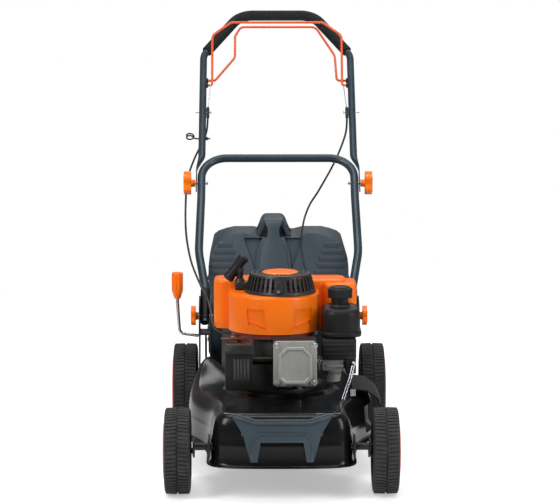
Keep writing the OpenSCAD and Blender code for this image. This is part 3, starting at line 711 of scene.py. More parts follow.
@dataclass(frozen=True)
class Paint(Finish):
    """Sprayed paint with an even skin, a trace of dust on top and paler edges."""

    dust: Colour = (120, 115, 105)
    dusting: float = 0.05
    edge: Colour = (90, 92, 95)
    edging: float = 0.35

    def tone(self, graph: Graph) -> Socket:
        """The paint's colour with dust in patches and a pale rub on its edges.

        Args:
            graph: the material's tree.

        Returns:
            The colour.
        """
        settled = graph.times(graph.upward(), graph.patches(0.03, 6, 0.42, 0.75))
        dusty = graph.over(Finish.tone(self, graph), settled, self.dusting, self.dust)
        rub = graph.times(graph.edges(0.05), graph.patches(0.006, 4, 0.45, 0.7))
        return graph.over(dusty, rub, self.edging, self.edge)


@dataclass(frozen=True)
class Plastic(Finish):
    """Moulded plastic with a grained skin and edges that catch a paler tone."""

    edge: Colour = (150, 150, 150)
    edging: float = 0.12

    def tone(self, graph: Graph) -> Socket:
        """The plastic's colour, paler where its edges are rubbed."""
        rub = graph.times(graph.edges(0.03), graph.span(graph.noise(0.01, 4), 0.4, 1.0))
        return graph.over(Finish.tone(self, graph), rub, self.edging, self.edge)

    def relief(self, graph: Graph) -> Socket:
        """A leathery moulding grain of two sizes."""
        coarse = graph.noise(self.grain_size * 3, 2)
        return graph.times(coarse, graph.span(graph.noise(self.grain_size, 3), 0.6, 1.0))


@dataclass(frozen=True)
class Rubber(Finish):
    """Black rubber with a grey bloom and small specks."""

    bloom: Colour = (96, 94, 90)
    blooming: float = 0.2

    def tone(self, graph: Graph) -> Socket:
        """Rubber with its bloom in patches and specks of dust."""
        patch, speck = graph.patches(0.02, 6, 0.4, 0.75), graph.patches(0.0015, 2, 0.66, 0.74)
        bloomed = graph.over(Finish.tone(self, graph), patch, self.blooming, self.bloom)
        return graph.over(bloomed, speck, self.blooming, self.bloom)


@dataclass(frozen=True)
class Metal(Finish):
    """Bare or plated metal with fine lines along one axis."""

    lines: Colour = (1, 1, 12)
    stain: Colour = (88, 80, 72)
    staining: float = 0.15

    def tone(self, graph: Graph) -> Socket:
        """The metal's colour with faint stains."""
        stains = graph.patches(0.012, 6, 0.52, 0.8)
        return graph.over(Finish.tone(self, graph), stains, self.staining, self.stain)

    def roughness(self, graph: Graph) -> Socket:
        """Gloss that varies along the lines."""
        return graph.span(graph.noise(0.01, 4, self.lines), *self.gloss)

    def relief(self, graph: Graph) -> Socket:
        """Fine drawn lines."""
        return graph.noise(self.grain_size * 4, 3, self.lines)


@dataclass(frozen=True)
class Cast(Metal):
    """Blasted casting with a pebbled skin."""

    def relief(self, graph: Graph) -> Socket:
        """Small pebbles with a few pores."""
        return graph.times(graph.cells(self.grain_size), graph.noise(self.grain_size * 2, 3))


@dataclass(frozen=True)
class Heated(Metal):
    """Sheet steel with the straw tint of a hot exhaust."""

    straw: Colour = (84, 70, 54)
    tinting: float = 0.6

    def tone(self, graph: Graph) -> Socket:
        """Steel with straw-coloured clouds."""
        clouds = graph.patches(0.04, 5, 0.35, 0.7)
        return graph.over(Metal.tone(self, graph), clouds, self.tinting, self.straw)


@dataclass(frozen=True)
class Foam(Finish):
    """Closed-cell foam with a skin of tiny cells."""

    def relief(self, graph: Graph) -> Socket:
        """Round cells side by side."""
        return graph.cells(self.grain_size)


@dataclass(frozen=True)
class Braid(Finish):
    """A braided rope skin of two crossing sets of strands."""

    strands: float = 0.6

    def relief(self, graph: Graph) -> Socket:
        """Strands that cross each other.

        Args:
            graph: the material's tree.

        Returns:
            The height of the strands.
        """
        crossed = graph.add("ShaderNodeMapping", Vector=graph.place, Scale=(1, -1, 1)).outputs[0]
        look = {"bands_direction": "DIAGONAL", "Scale": self.strands / self.grain_size}
        waves = [graph.add("ShaderNodeTexWave", Vector=place, **look) for place in (graph.place, crossed)]
        return graph.times(waves[0].outputs[1], waves[1].outputs[1])


DECK_BLACK = Paint(
    "deck_black", (13, 13, 14), (18, 18, 19), (0.15, 0.24), grain_size=0.0035, grain_depth=0.05, coat=0.08,
    specular=0.22,
)
BRACKET_BLACK = Paint("bracket_black", (22, 22, 24), (31, 31, 33), (0.34, 0.5), grain_depth=0.1)
ENGINE_BLACK = Paint("engine_black", (20, 20, 21), (34, 33, 32), (0.38, 0.55), grain_size=0.002)
GUARD_BLACK = Paint("guard_black", (21, 20, 19), (30, 28, 26), (0.34, 0.5), grain_depth=0.08)
SLATE_PAINT = Paint("slate_paint", (37, 52, 62), (44, 60, 70), (0.26, 0.36), grain_depth=0.06, coat=0.1)
RED_PAINT = Paint("red_paint", (226, 86, 34), (233, 98, 46), (0.25, 0.36), grain_depth=0.05, coat=0.3)
SLATE_PLASTIC = Plastic("slate_plastic", (46, 60, 69), (53, 67, 76), (0.4, 0.55), grain_size=0.0008)
BLACK_PLASTIC = Plastic(
    "black_plastic", (17, 17, 18), (24, 24, 25), (0.4, 0.56), grain_size=0.0009, specular=0.32
)
COVER_GREY = Plastic("cover_grey", (36, 35, 35), (46, 45, 44), (0.32, 0.46), grain_size=0.0009)
FLAP_BLACK = Plastic("flap_black", (12, 12, 13), (17, 17, 18), (0.5, 0.66), specular=0.2)
ORANGE_GLOSS = Plastic(
    "orange_gloss", (255, 112, 4), (255, 121, 10), (0.24, 0.36), grain_depth=0.04,
    edge=(255, 160, 70), edging=0.2, coat=0.06, specular=0.3,
)
RED_PLASTIC = Plastic("red_plastic", (222, 66, 24), (230, 78, 32), (0.28, 0.4), grain_depth=0.05)
# Dark red copy of the orange plastic: painted shade for the housing's inside collar and for the rim under its
# front edge.
SHADED_ORANGE = Plastic("deep_red", (112, 20, 10), (126, 26, 14), (0.35, 0.5), grain_depth=0.05)
CAST_ALLOY = Cast(
    "cast_alloy", (166, 166, 162), (180, 180, 176), (0.36, 0.52), grain_size=0.0011, grain_depth=0.3,
    metallic=0.5,
)
BRIGHT_STEEL = Metal("bright_steel", (205, 207, 212), (190, 193, 200), (0.14, 0.28), metallic=1.0)
DARK_STEEL = Metal("dark_steel", (66, 67, 71), (54, 55, 59), (0.34, 0.5), metallic=1.0)
MUFFLER_STEEL = Heated("muffler_steel", (70, 67, 64), (54, 52, 50), (0.36, 0.56), metallic=1.0)
BELT_RUBBER = Rubber("belt_rubber", (26, 26, 26), (33, 33, 33), (0.6, 0.8), grain_depth=0.3)
TYRE_RUBBER = Rubber("wheel_tread", (33, 33, 34), (41, 41, 42), (0.55, 0.75), grain_depth=0.25)
CABLE_SKIN = Rubber("cable_skin", (20, 20, 21), (27, 27, 28), (0.35, 0.5), blooming=0.06)
FOAM_SKIN = Foam("foam", (21, 21, 22), (28, 28, 29), (0.7, 0.9), grain_size=0.0016, grain_depth=0.5)
ROPE_SKIN = Braid("rope_fabric", (30, 30, 31), (44, 44, 45), (0.7, 0.9), grain_depth=0.6)

SLOT_FINISH: dict[str, Finish] = {
    finish.name: finish
    for finish in (
        DECK_BLACK, BRACKET_BLACK, SLATE_PAINT, RED_PAINT, SLATE_PLASTIC, BLACK_PLASTIC, ORANGE_GLOSS,
        RED_PLASTIC, CAST_ALLOY, BRIGHT_STEEL, DARK_STEEL, MUFFLER_STEEL, BELT_RUBBER, TYRE_RUBBER,
        CABLE_SKIN, FOAM_SKIN, ROPE_SKIN,
    )
}


def paint(piece: Piece, name: str, finish: Finish, angle: float = 35.0) -> None:
    """Give a piece its final name, shading and surface.

    Args:
        piece: the modelled piece, with its place in its mesh.
        name: its final name.
        finish: its surface.
        angle: edges flatter than this, in degrees, are shaded smoothly.
    """
    piece.name = name
    piece.data.name = name
    make_active(piece)
    bpy.ops.object.shade_smooth_by_angle(angle=math.radians(angle))
    piece.data.materials.clear()
    piece.data.materials.append(finish.material())
    LOG.info("%s: %d faces", name, len(piece.data.polygons))


def dress(
    piece: Piece, name: str, finish: Finish, body: str, stands_for: Sequence[str] = (), angle: float = 35.0
) -> None:
    """Finish a piece and put it on a body, in place of the CAD nodes that it stands for.

    Args:
        piece: the modelled piece, with its place in its mesh.
        name: its final name.
        finish: its surface.
        body: the CAD body that carries it.
        stands_for: the CAD nodes that it replaces.
        angle: edges flatter than this, in degrees, are shaded smoothly.
    """
    paint(piece, name, finish, angle)
    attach(piece, body)
    if stands_for:
        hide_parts(*stands_for)


def dress_softened(
    node: str, name: str, finish: Finish, width: float, segments: int = 2, angle: float = 35.0
) -> None:
    """Finish a copy of a CAD node with rounded edges and put it in the node's place."""
    dress(softened(node, width, segments), name, finish, NODE_BODY[node], [node], angle)


def dress_nodes() -> None:
    """Give every CAD node the finish of its slot in the record."""
    for name, node in frame["nodes"].items():
        finish = ENGINE_BLACK if name == "engine_block" else SLOT_FINISH[NODE_SLOT[name]]
        node.data.materials.clear()
        node.data.materials.append(finish.material())


# Studio


@dataclass(frozen=True)
class Lamp:
    """A soft rectangular lamp that looks at the middle of the mower."""

    name: str
    place: Point3
    size: Point2
    power: float
    aim: Point3 = (0.0, -0.2, 0.35)

    def hang(self) -> None:
        """Put the lamp in the scene."""
        light = bpy.data.lights.new(self.name, "AREA")
        light.shape = "RECTANGLE"
        light.size, light.size_y = self.size
        light.energy = self.power
        holder = bpy.data.objects.new(self.name, light)
        holder.location = self.place
        holder.rotation_euler = (Vector(self.aim) - Vector(self.place)).to_track_quat("-Z", "Y").to_euler()
        bpy.context.scene.collection.objects.link(holder)


@dataclass
class Studio:
    """Camera, pale floor, white surround and soft lamps."""

    eye: Vector = field(default_factory=lambda: mm(-55, -5200, 1250))
    pitch: float = 7.95
    yaw: float = 0.569
    focal_pixels: float = 2470.0
    frame_pixels: int = 560
    sensor: float = 36.0
    floor_size: float = 16.0
    floor_drop: float = 0.0005
    floor_colour: Colour = (0.8, 0.8, 0.8)
    floor_glow: float = 0.42
    floor_fade: Point2 = (0.9, 2.4)
    sky_light: float = 0.46
    room_turn: Point2 = (0.3, 0.95)
    mirror_front: float = 0.22
    mirror_back: float = 0.2
    mirror_floor: float = 0.3
    lamps: Sequence[Lamp] = (
        Lamp("key", (-2.3, -2.6, 2.7), (1.0, 2.4), 74),
        Lamp("fill", (2.7, -2.2, 1.6), (0.8, 2.4), 45),
        Lamp("back", (0.3, 2.6, 2.9), (2.6, 1.2), 40),
        Lamp("top", (0.0, -0.4, 3.4), (2.4, 1.2), 36),
    )

    def build(self) -> None:
        """Set up the whole studio."""
        self.place_camera()
        self.lay_floor()
        self.light_world()
        for lamp in self.lamps:
            lamp.hang()

    def place_camera(self) -> None:
        """Put the camera where the picture was taken."""
        camera = bpy.data.cameras.new("camera")
        camera.sensor_width = self.sensor
        camera.sensor_fit = "HORIZONTAL"
        camera.lens = self.focal_pixels / self.frame_pixels * self.sensor
        holder = bpy.data.objects.new("camera", camera)
        holder.location = self.eye
        holder.rotation_euler = (math.radians(90 - self.pitch), 0, math.radians(-self.yaw))
        bpy.context.scene.collection.objects.link(holder)
        bpy.context.scene.camera = holder
        bpy.context.scene.view_settings.view_transform = "Standard"

    def seen(self, graph: Graph) -> Socket:
        """One for rays from the camera or glass, a share of it for mirrors, otherwise zero.

        Args:
            graph: the tree that gets the nodes.

        Returns:
            The value.
        """
        path = graph.add("ShaderNodeLightPath").outputs
        mirror = graph.times(path["Is Glossy Ray"], self.mirror_floor)
        either = graph.combine("MAXIMUM", path["Is Camera Ray"], mirror)
        return graph.combine("MAXIMUM", either, path["Is Transmission Ray"])

    def lay_floor(self) -> None:
        """A pale floor that keeps the shadow and fades into the white round it."""
        deselect()
        bpy.ops.mesh.primitive_plane_add(size=self.floor_size, location=(0, 0, -self.floor_drop))
        floor = bpy.context.object
        floor.name = "floor"
        graph = Graph(bpy.data.materials.new("floor"))
        nodes = graph.tree.nodes
        nodes.remove(nodes["Principled BSDF"])
        seen = self.seen(graph)
        matt = graph.add("ShaderNodeBsdfDiffuse", Color=self.floor_colour)
        near = graph.add("ShaderNodeEmission", Strength=graph.times(seen, self.floor_glow))
        lit = graph.add("ShaderNodeAddShader")
        far = graph.add("ShaderNodeEmission", Strength=seen)
        distance = graph.add("ShaderNodeVectorMath", operation="LENGTH", Vector=graph.place)
        fade = graph.add("ShaderNodeMixShader", Fac=graph.ramp(distance.outputs["Value"], *self.floor_fade))
        for source, socket in (
            (matt, lit.inputs[0]), (near, lit.inputs[1]), (lit, fade.inputs[1]), (far, fade.inputs[2]),
            (fade, nodes["Material Output"].inputs[0]),
        ):
            graph.plug(source.outputs[0], socket)
        floor.data.materials.append(graph.owner)

    def light_world(self) -> None:
        """A white surround for the eye, a darker room for mirrors, and a softer light for the rest."""
        world = bpy.data.worlds.new("studio")
        bpy.context.scene.world = world
        graph = Graph(world)
        depth = graph.add("ShaderNodeSeparateXYZ", Vector=graph.coordinates["Generated"]).outputs[1]
        room = graph.ramp(depth, *self.room_turn, self.mirror_front, self.mirror_back)
        path = graph.add("ShaderNodeLightPath").outputs
        strength: object = self.sky_light
        for ray, value in (("Is Glossy Ray", room), ("Is Camera Ray", 1.0), ("Is Transmission Ray", 1.0)):
            choice = graph.feed(graph.add("ShaderNodeMix"), {0: path[ray], 2: strength, 3: value})
            strength = choice.outputs[0]
        background = graph.tree.nodes["Background"].inputs
        graph.plug((1, 1, 1), background["Color"])
        graph.plug(strength, background["Strength"])


# Deck


@dataclass
class Deck:
    """Pressed steel deck with its lip, raised scroll and engine seat, and the hand-hold on its nose."""

    low: float = 72.0
    top: float = 176.0
    sheet: float = 2.3
    scroll_rise: float = 54.0
    scroll_start: float = 190.0
    scroll_end: float = 480.0
    nose_rise: float = 9.0
    nose_end: float = 140.0
    nose_run: float = 100.0
    half: Outline = (
        (0, -78), (60, -77), (105, -74), (132, -67), (146, -54), (152, -34), (153, -8), (153, 25), (153, 65),
        (157, 100), (167, 137), (182, 173), (196, 209), (206, 245), (210, 280), (209, 315), (205, 350),
        (198, 385), (189, 420), (181, 450), (174, 480), (170, 510), (170, 550), (170, 590), (167, 610),
        (158, 628), (144, 641), (125, 648), (90, 650), (45, 650), (0, 650),
    )
    lip: Outline = (
        (-9, 0), (-8.6, 2.4), (-2, 3.6), (0, 8), (1.6, 40), (1.0, 43), (1.2, 49), (2.6, 52)
    )
    shoulder: Sequence[Point3] = ((4, -28, 0.3), (8, -14, 0.62), (16, -4, 0.92), (28, 0.5, 1), (40, 0, 0.8))
    seat: Outline = (
        (134, 0.2), (128, 3), (121, 8.6), (113, 10), (107, 7.5), (103, 4.2), (72, 4), (40, 4)
    )

    def build(self) -> None:
        """Build the deck and the hand-hold on it."""
        shell = self.pressed_shell()
        self.cut_openings(shell)
        dress(shell, "deck_shell", DECK_BLACK, "chassis", ["deck"], 50)
        self.hand_hold()

    def outline(self) -> list[Vector]:
        """The closed outline of the wall."""
        corners = [Vector((x, y, 0)) for x, y in self.half]
        return corners + [Vector((-x, y, 0)) for x, y in self.half[-2:0:-1]]

    def lift(self, place: Vector) -> float:
        """How far the nose, and the scroll on the mower's right side, rise.

        Args:
            place: a point of the outline.

        Returns:
            The rise in millimetres.
        """
        nose = self.nose_rise * min(1.0, max(0.0, (self.nose_end - place.y) / self.nose_run))
        share = (place.y - self.scroll_start) / (self.scroll_end - self.scroll_start)
        if place.x >= 0 or not 0 < share < 1:
            return nose
        return nose + self.scroll_rise * math.sin(math.pi * share**2.6) ** 1.1

    def wall_ring(self, inset: float, height: float, rise: float) -> list[Vector]:
        """The outline moved inward at a height.

        Args:
            inset: how far it is moved.
            height: its height where nothing rises.
            rise: the share of the nose's and scroll's rise that it takes.

        Returns:
            The ring's points.
        """
        line = self.outline()
        ring = []
        for i, place in enumerate(line):
            run = (line[(i + 1) % len(line)] - line[i - 1]).normalized()
            moved = place - inset * Vector((run.y, -run.x, 0))
            ring.append(mm(moved.x, moved.y, height + rise * self.lift(place)))
        return ring

    def seat_ring(self, radius: float, height: float) -> list[Vector]:
        """A circle about the blade axis with one point for each point of the outline."""
        arms = [(place - Vector((0, BLADE_Y, 0))).normalized() * radius for place in self.outline()]
        return [mm(arm.x, BLADE_Y + arm.y, height) for arm in arms]

    def pressed_shell(self) -> Piece:
        """The sheet, drawn ring by ring from the lip up to the engine seat.

        Returns:
            The sheet with its thickness.
        """
        rings = [self.wall_ring(inset, self.low + height, 0) for inset, height in self.lip]
        rings += [self.wall_ring(inset, self.top + height, rise) for inset, height, rise in self.shoulder]
        rings += [self.seat_ring(radius, self.top + height) for radius, height in self.seat]
        deselect()
        bpy.ops.mesh.primitive_circle_add(vertices=len(rings[0]), fill_type="NOTHING")
        shell = bpy.context.object
        for vertex, place in zip(shell.data.vertices, rings[0]):
            vertex.co = place
        with edit_mode(shell):
            for lower, upper in zip(rings, rings[1:]):
                bpy.ops.mesh.extrude_edges_move(TRANSFORM_OT_translate={"value": (0, 0, 0)})
                cage = bmesh.from_edit_mesh(shell.data)
                moves = {tuple(round(c, 6) for c in old): new for old, new in zip(lower, upper)}
                for vertex in cage.verts:
                    if vertex.select:
                        vertex.co = moves[tuple(round(c, 6) for c in vertex.co)]
                bmesh.update_edit_mesh(shell.data)
        tidy_mesh(shell, 1e-7)
        if max(shell.data.polygons, key=lambda face: face.center.z).normal.z < 0:
            shell.data.flip_normals()
        apply_modifier(shell, "SUBSURF", levels=1, render_levels=1)
        apply_modifier(shell, "SOLIDIFY", thickness=self.sheet / 1000, offset=-1.0)
        return shell

    def cut_openings(self, shell: Piece) -> None:
        """Cut the discharge opening, the side opening, the axle holes and the hole of the drive cable.

        Args:
            shell: the pressed sheet.
        """
        cut(
            shell,
            block("chute_hole", (-128, 486, self.top - 14), (38, 618, self.top + 14), 6),
            block("side_hole", (182, 195, self.low + 16), (230, 345, self.top - 28), 6),
            across("front_hole", -200, 200, (-36, 110), 10),
            across("rear_hole", -200, 200, (584, 125), 13.5),
            drill(6, 30, mm(140, 500, self.top - 15), 24),
        )

    def hand_hold(self) -> None:
        """The plastic hand-hold on the nose, with a ridge along its top and one round its opening."""
        parts = [softened("front_handle", 0.0025, 3)]
        brow = [mm(-102, -112, 191), mm(-82, -112.5, 184), mm(-58, -113, 176)]
        parts.append(tube("brow", bent(brow, (0.1, 0.05)), 3.2, 4))
        arch = [mm(-62, -112, 98), mm(-66, -112, 124), mm(-57, -112.5, 153)]
        parts.append(tube("arch", bent(arch, (0.06, 0.02)), 2.6, 4))
        dress(join(parts, "hand_hold"), "nose_hand_hold", SLATE_PLASTIC, "chassis", ["front_handle"], 40)


# Wheels


class WheelPlace(Enum):
    """The four wheels, each with its number and the side that it looks to, 1 for the mower's left."""

    FRONT_LEFT = (0, 1)
    FRONT_RIGHT = (1, -1)
    REAR_LEFT = (2, 1)
    REAR_RIGHT = (3, -1)


@dataclass
class Wheel:
    """A moulded wheel with two staggered rows of tread bars, and its hub cap, in millimetres."""

    place: WheelPlace
    bore: float = 6.1
    bar_height: float = 2.4
    bar_gap: float = 2.2
    bar_pitch: float = 9.0
    bar_slant: float = 2.2
    bar_margin: float = 2.4
    bar_chamfer: float = 0.7
    shoulder_width: float = 9.0
    shoulder_drop: float = 0.9
    groove: float = 1.6
    cap_gap: float = 28.5
    cap_sink: float = 2.7
    cap_ribs: int = 10
    radius: float = field(init=False)
    width: float = field(init=False)
    stand: Matrix = field(init=False)

    def __post_init__(self) -> None:
        """Take the size, and the movement from the origin to the inner face, from the CAD node."""
        sign = self.place.value[1]
        low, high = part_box("wheel_" + self.place.name.lower())
        self.radius = (high.z - low.z) * 500
        self.width = (high.x - low.x) * 1000
        foot = Vector((low.x if sign > 0 else high.x, (low.y + high.y) / 2, (low.z + high.z) / 2))
        self.stand = stood(foot, sign * LEFT)

    def build(self) -> None:
        """Build the wheel and its cap."""
        title = self.place.name.lower()
        body = NODE_BODY["wheel_" + title]
        dress(self.tyre(), "tyre_" + title, TYRE_RUBBER, body, ["wheel_" + title], 30)
        dress(self.cap(), "cap_" + title, RED_PLASTIC, body, ["hubcap_" + title], 30)

    def tyre(self) -> Piece:
        """The wheel body with its tread bars.

        Returns:
            The wheel.
        """
        radius, width = self.radius, self.width
        r, middle = radius - self.bar_height, width / 2
        flank = [
            (radius - 20, 0), (radius - 18.5, 1), (radius - 16.5, 1), (radius - 15, 0), (radius - 12, 0),
            (r - 3, 1), (r - 0.6, 2.6), (r, 5), (r, middle - self.groove),
        ]
        profile = [
            (self.bore, 0), (15.5, 0), (17, 1.5), (17, 20), (19, 22), (radius - 38, 22), (radius - 36, 20),
            (radius - 36, 1.5), (radius - 34.5, 0), *flank, (r - 1.2, middle),
            *[(a, width - h) for a, h in reversed(flank)], (radius - 27, width), (radius - 28, width - 1),
            (radius - 28, width - 3), (self.bore, width - 3),
        ]
        body = lathe("tyre_body", profile, Vector(), UP, 96)
        body.data.transform(self.stand)
        pieces = [body]
        count = round(2 * math.pi * radius / self.bar_pitch)
        inner_row = self.bar_margin, middle - self.groove
        outer_row = middle + self.groove, width - self.bar_margin
        for row, shift in ((inner_row, 0.0), (outer_row, 0.5)):
            turns = [self.stand @ spun(a) for a in angles(count, shift)]
            pieces += repeated(self.bar(*row, count), turns)
        return join(pieces, "tyre")

    def bar(self, start: float, end: float, count: int) -> Piece:
        """One tread bar, pointing along the x axis of a wheel that stands on z.

        Args:
            start: where the bar starts across the tread.
            end: where it ends.
            count: how many bars a row has.

        Returns:
            The bar.
        """
        half = math.pi * self.radius / count - self.bar_gap / 2
        slant = self.bar_slant / 2 if start < self.width / 2 else -self.bar_slant / 2

        def corner(outer: bool, later: bool, upper: bool) -> Point3:
            """One corner of the bar.

            Args:
                outer: whether it is on the tread.
                later: whether it is on the far side round the wheel.
                upper: whether it is nearer the outer face.

            Returns:
                Its place.
            """
            narrow = self.bar_chamfer if outer else 0.0
            at_shoulder = end > self.width - self.shoulder_width if upper else start < self.shoulder_width
            sunk = (self.shoulder_drop if at_shoulder else 0.0) if outer else 2 * self.bar_height
            side = (half - narrow) * (1 if later else -1) + (slant if upper else -slant)
            return self.radius - sunk, side, end - narrow if upper else start + narrow

        return shaped_box(corner)

    def cap(self) -> Piece:
        """The hub cap: a dished disc with radial ribs and a raised middle.

        Returns:
            The cap.
        """
        rim, base = self.radius - self.cap_gap, self.width - self.cap_sink
        rise = [
            (0, 0), (rim, 0), (rim, 2.6), (rim - 1, 3.6), (rim - 5, 5), (rim - 7, 4.6), (rim - 10, 2.6),
            (30, 2.6), (26, 5.2), (24, 6.3), (12, 6.8), (0, 6.9),
        ]
        disc = lathe("cap_disc", [(a, base + h) for a, h in rise], Vector(), UP, 80)
        disc.data.transform(self.stand)

        def corner(outer: bool, later: bool, upper: bool) -> Point3:
            """One corner of a rib."""
            breadth = (2.0 if outer else 3.2) * (0.55 if upper else 1.0)
            height = base + (5.0 if outer else 5.6) if upper else base + 1
            return rim - 7 if outer else 24, breadth if later else -breadth, height

        rib = shaped_box(corner)
        round_edges(rib, 0.0006, 2)
        turns = [self.stand @ spun(a) for a in angles(self.cap_ribs)]
        return join([disc, *repeated(rib, turns)], "cap")


# Handle


SLOPE = math.radians(43.4)
KNOB_AXIS: Point2 = (835.0, 578.0)
LOW_AXIS: Point2 = (550.0, 295.0)


def slope_yz(s: float, h: float) -> Point2:
    """The y and z of a place s up the handle's slope from the upper knobs and h above it."""
    rise, run = math.sin(SLOPE), math.cos(SLOPE)
    return KNOB_AXIS[0] + s * run - h * rise, KNOB_AXIS[1] + s * rise + h * run


def on_slope(s: float, x: float, h: float = 0.0) -> Vector:
    """A place of the handle's plane in the frame."""
    return mm(x, *slope_yz(s, h))


def slope_frame() -> Matrix:
    """The movement that takes a piece modelled flat, as x, s and h, into the handle's plane."""
    lay = Matrix.Translation(-mm(0, 0, 0))
    return Matrix.Translation(on_slope(0, 0)) @ Matrix.Rotation(SLOPE, 4, "X") @ lay


@dataclass(frozen=True)
class Bail:
    """A bent wire bail with pivots up the slope and above the handle's plane, and corners as x and reach."""

    name: str
    pivot: Point2
    lean: float
    corners: Outline
    radii: Sequence[float]


@dataclass
class HandleFrame:
    """Folding handle with its tubes, foam grip, bails, cable clamps and the guide of the starter rope."""

    lower_radius: float = 10.0
    sleeve_wall: float = 1.2
    upper_radius: float = 9.0
    foam_radius: float = 13.5
    bail_radius: float = 3.0
    foot_x: float = 175.0
    side_x: float = 188.0
    foot_start: int = -27
    foot_end: int = 120
    foot_step: int = 5
    foot_flat: float = 3.0
    foot_width: float = 21.0
    foot_shift: float = 12.5
    flat_end: float = 40.0
    flat_run: float = 52.0
    grip_arc: int = 10
    clamp_s: Point2 = (220.0, 246.0)
    guide_s: float = 146.0
    guide_x: float = -218.0
    guide_radius: float = 9.0
    bails: Sequence[Bail] = (
        Bail(
            "bail_a", (323.5, 2), 20,
            ((173, 0), (165, 0), (165, 138), (117, 174), (-117, 174), (-165, 138), (-165, 0), (-173, 0)),
            (6, 20, 20, 20, 20, 6),
        ),
        Bail(
            "bail_b", (345, -4), 32,
            (
                (173, 0), (152, 0), (147, 65), (98, 139), (-92, 139), (-107, 115), (-107, 60), (-158, 0),
                (-173, 0),
            ),
            (8, 25, 20, 15, 12, 20, 10),
        ),
    )

    def build(self) -> None:
        """Build the handle from its feet up to the grip."""
        self.lower_tube()
        self.upper_tube()
        self.foam()
        for bail in self.bails:
            self.bail(bail)
        self.clamps()
        self.rope_guide()

    def lower_tube(self) -> None:
        """The bent lower tube, with black sleeves over its feet."""
        half = [
            mm(self.foot_x, 536, 281), mm(self.foot_x, 606, 351), mm(192, 684, 429),
            on_slope(-48, self.side_x), on_slope(81, self.side_x),
        ]
        piece = tube("lower_tube", bent(half, (0.11, 0.2, 0.2, 0.062), 12), self.lower_radius, 6)
        dress(piece, "lower_handle_tube", SLATE_PAINT, "lower_handle", ["lower_handle"], 40)
        sleeves = []
        for side in (-1, 1):
            line = [mm(side * self.foot_x, 541 + 3 * i, 286 + 3 * i) for i in range(22)]
            sleeve = tube("sleeve", line, self.lower_radius + self.sleeve_wall, 6)
            round_edges(sleeve, 0.001, 2, 60)
            sleeves.append(sleeve)
        dress(join(sleeves, "sleeves"), "lower_handle_sleeves", BLACK_PLASTIC, "lower_handle", (), 40)

    def upper_line(self, foot_s: float) -> list[Vector]:
        """The middle line of the upper tube, from a foot round the grip to the other foot."""
        half = [on_slope(foot_s, self.side_x), on_slope(430, self.side_x), on_slope(571, 95)]
        return bent(half, (0.05, 0.06), self.grip_arc)

    def upper_tube(self) -> None:
        """The upper tube, pressed flat at both feet where the knobs clamp it."""
        start, tip_length = self.foot_start, self.foot_width / 2
        foot = [on_slope(s, self.side_x) for s in range(start, self.foot_end + 4, self.foot_step)]
        bends = self.upper_line(start)[1 : 2 * self.grip_arc + 3]
        piece = tube("upper_tube", both_sides(foot + bends), self.upper_radius, 6)
        flat = slope_frame()
        lay = flat.inverted()
        for vertex in piece.data.vertices:
            place = lay @ vertex.co - mm(0, 0, 0)
            s = place.y * 1000
            if s > self.foot_end:
                continue
            grown = smooth_step((s - self.flat_end) / self.flat_run)
            thin = grown + (1 - grown) * self.foot_flat / (2 * self.upper_radius)
            wide = grown + (1 - grown) * self.foot_width / (2 * self.upper_radius)
            tip = math.sqrt(max(0.04, 1 - max(0.0, (start + tip_length - s) / tip_length) ** 2))
            middle = self.side_x + (1 - grown) * self.foot_shift
            x = middle + (abs(place.x) * 1000 - self.side_x) * thin
            vertex.co = flat @ mm(math.copysign(x, place.x), s, place.z * 1000 * wide * tip)
        dress(piece, "upper_handle_tube", SLATE_PAINT, "upper_handle", ["upper_handle"], 40)

    def foam(self) -> None:
        """The foam sleeve over the grip, from its first bend to its last, with rounded ends."""
        bend = self.grip_arc + 1
        piece = tube("foam", self.upper_line(70)[bend : 3 * bend + 2], self.foam_radius, 7)
        round_edges(piece, 0.003, 3, 60)
        dress(piece, "foam_sleeve", FOAM_SKIN, "upper_handle", ["foam_grip"], 50)

    def bail(self, bail: Bail) -> None:
        """A bent wire bail, and the bushes round its pivots.

        Args:
            bail: its form.
        """
        name, (s, h) = bail.name, bail.pivot
        run, rise = math.cos(math.radians(bail.lean)), math.sin(math.radians(bail.lean))
        line = [on_slope(s + reach * run, x, h + reach * rise) for x, reach in bail.corners]
        wire = tube("wire", fillet(line, [radius / 1000 for radius in bail.radii]), self.bail_radius, 4)
        pins = pin_pair(168, 186, slope_yz(s, h), 2.8)
        dress(join([wire, *pins], name), name + "_wire", RED_PAINT, name, [name], 40)
        bushes = pin_pair(175, 180, slope_yz(s, h), 6.5, 1.2)
        dress(join(bushes, "bushes"), name + "_bushes", BLACK_PLASTIC, name)

    def clamps(self) -> None:
        """The blocks that hold the ends of the cables, with ferrules and screws."""
        low, high = self.clamp_s
        head = [(0, -36), (1.6, -36), (1.6, 3), (3.4, 3), (3.4, 4.4), (2.6, 5.6), (0, 5.8)]
        blocks, screws = [], []
        for side in (-1, 1):
            x = side * CLAMP_X
            blocks.append(block("clamp", (x - 3.9, low, -5), (x + 3.9, high, 5), 1.4))
            for foot, radius in ((low - 5.5, 3.6), (high - 1, 2.6)):
                blocks.append(lathe("ferrule", pin_profile(radius, 6), mm(x, foot, 0), -AHEAD, 20))
            screws.append(lathe("screw", head, mm(x - side * 3.7, (low + high) / 2, 0), -side * LEFT, 20))
        for pieces, name, finish, nodes in (
            (blocks, "cable_clamp_blocks", BLACK_PLASTIC, ["cable_clamps"]),
            (screws, "cable_clamp_screws", BRIGHT_STEEL, []),
        ):
            piece = join(pieces, name)
            piece.data.transform(slope_frame())
            dress(piece, name, finish, "upper_handle", nodes)

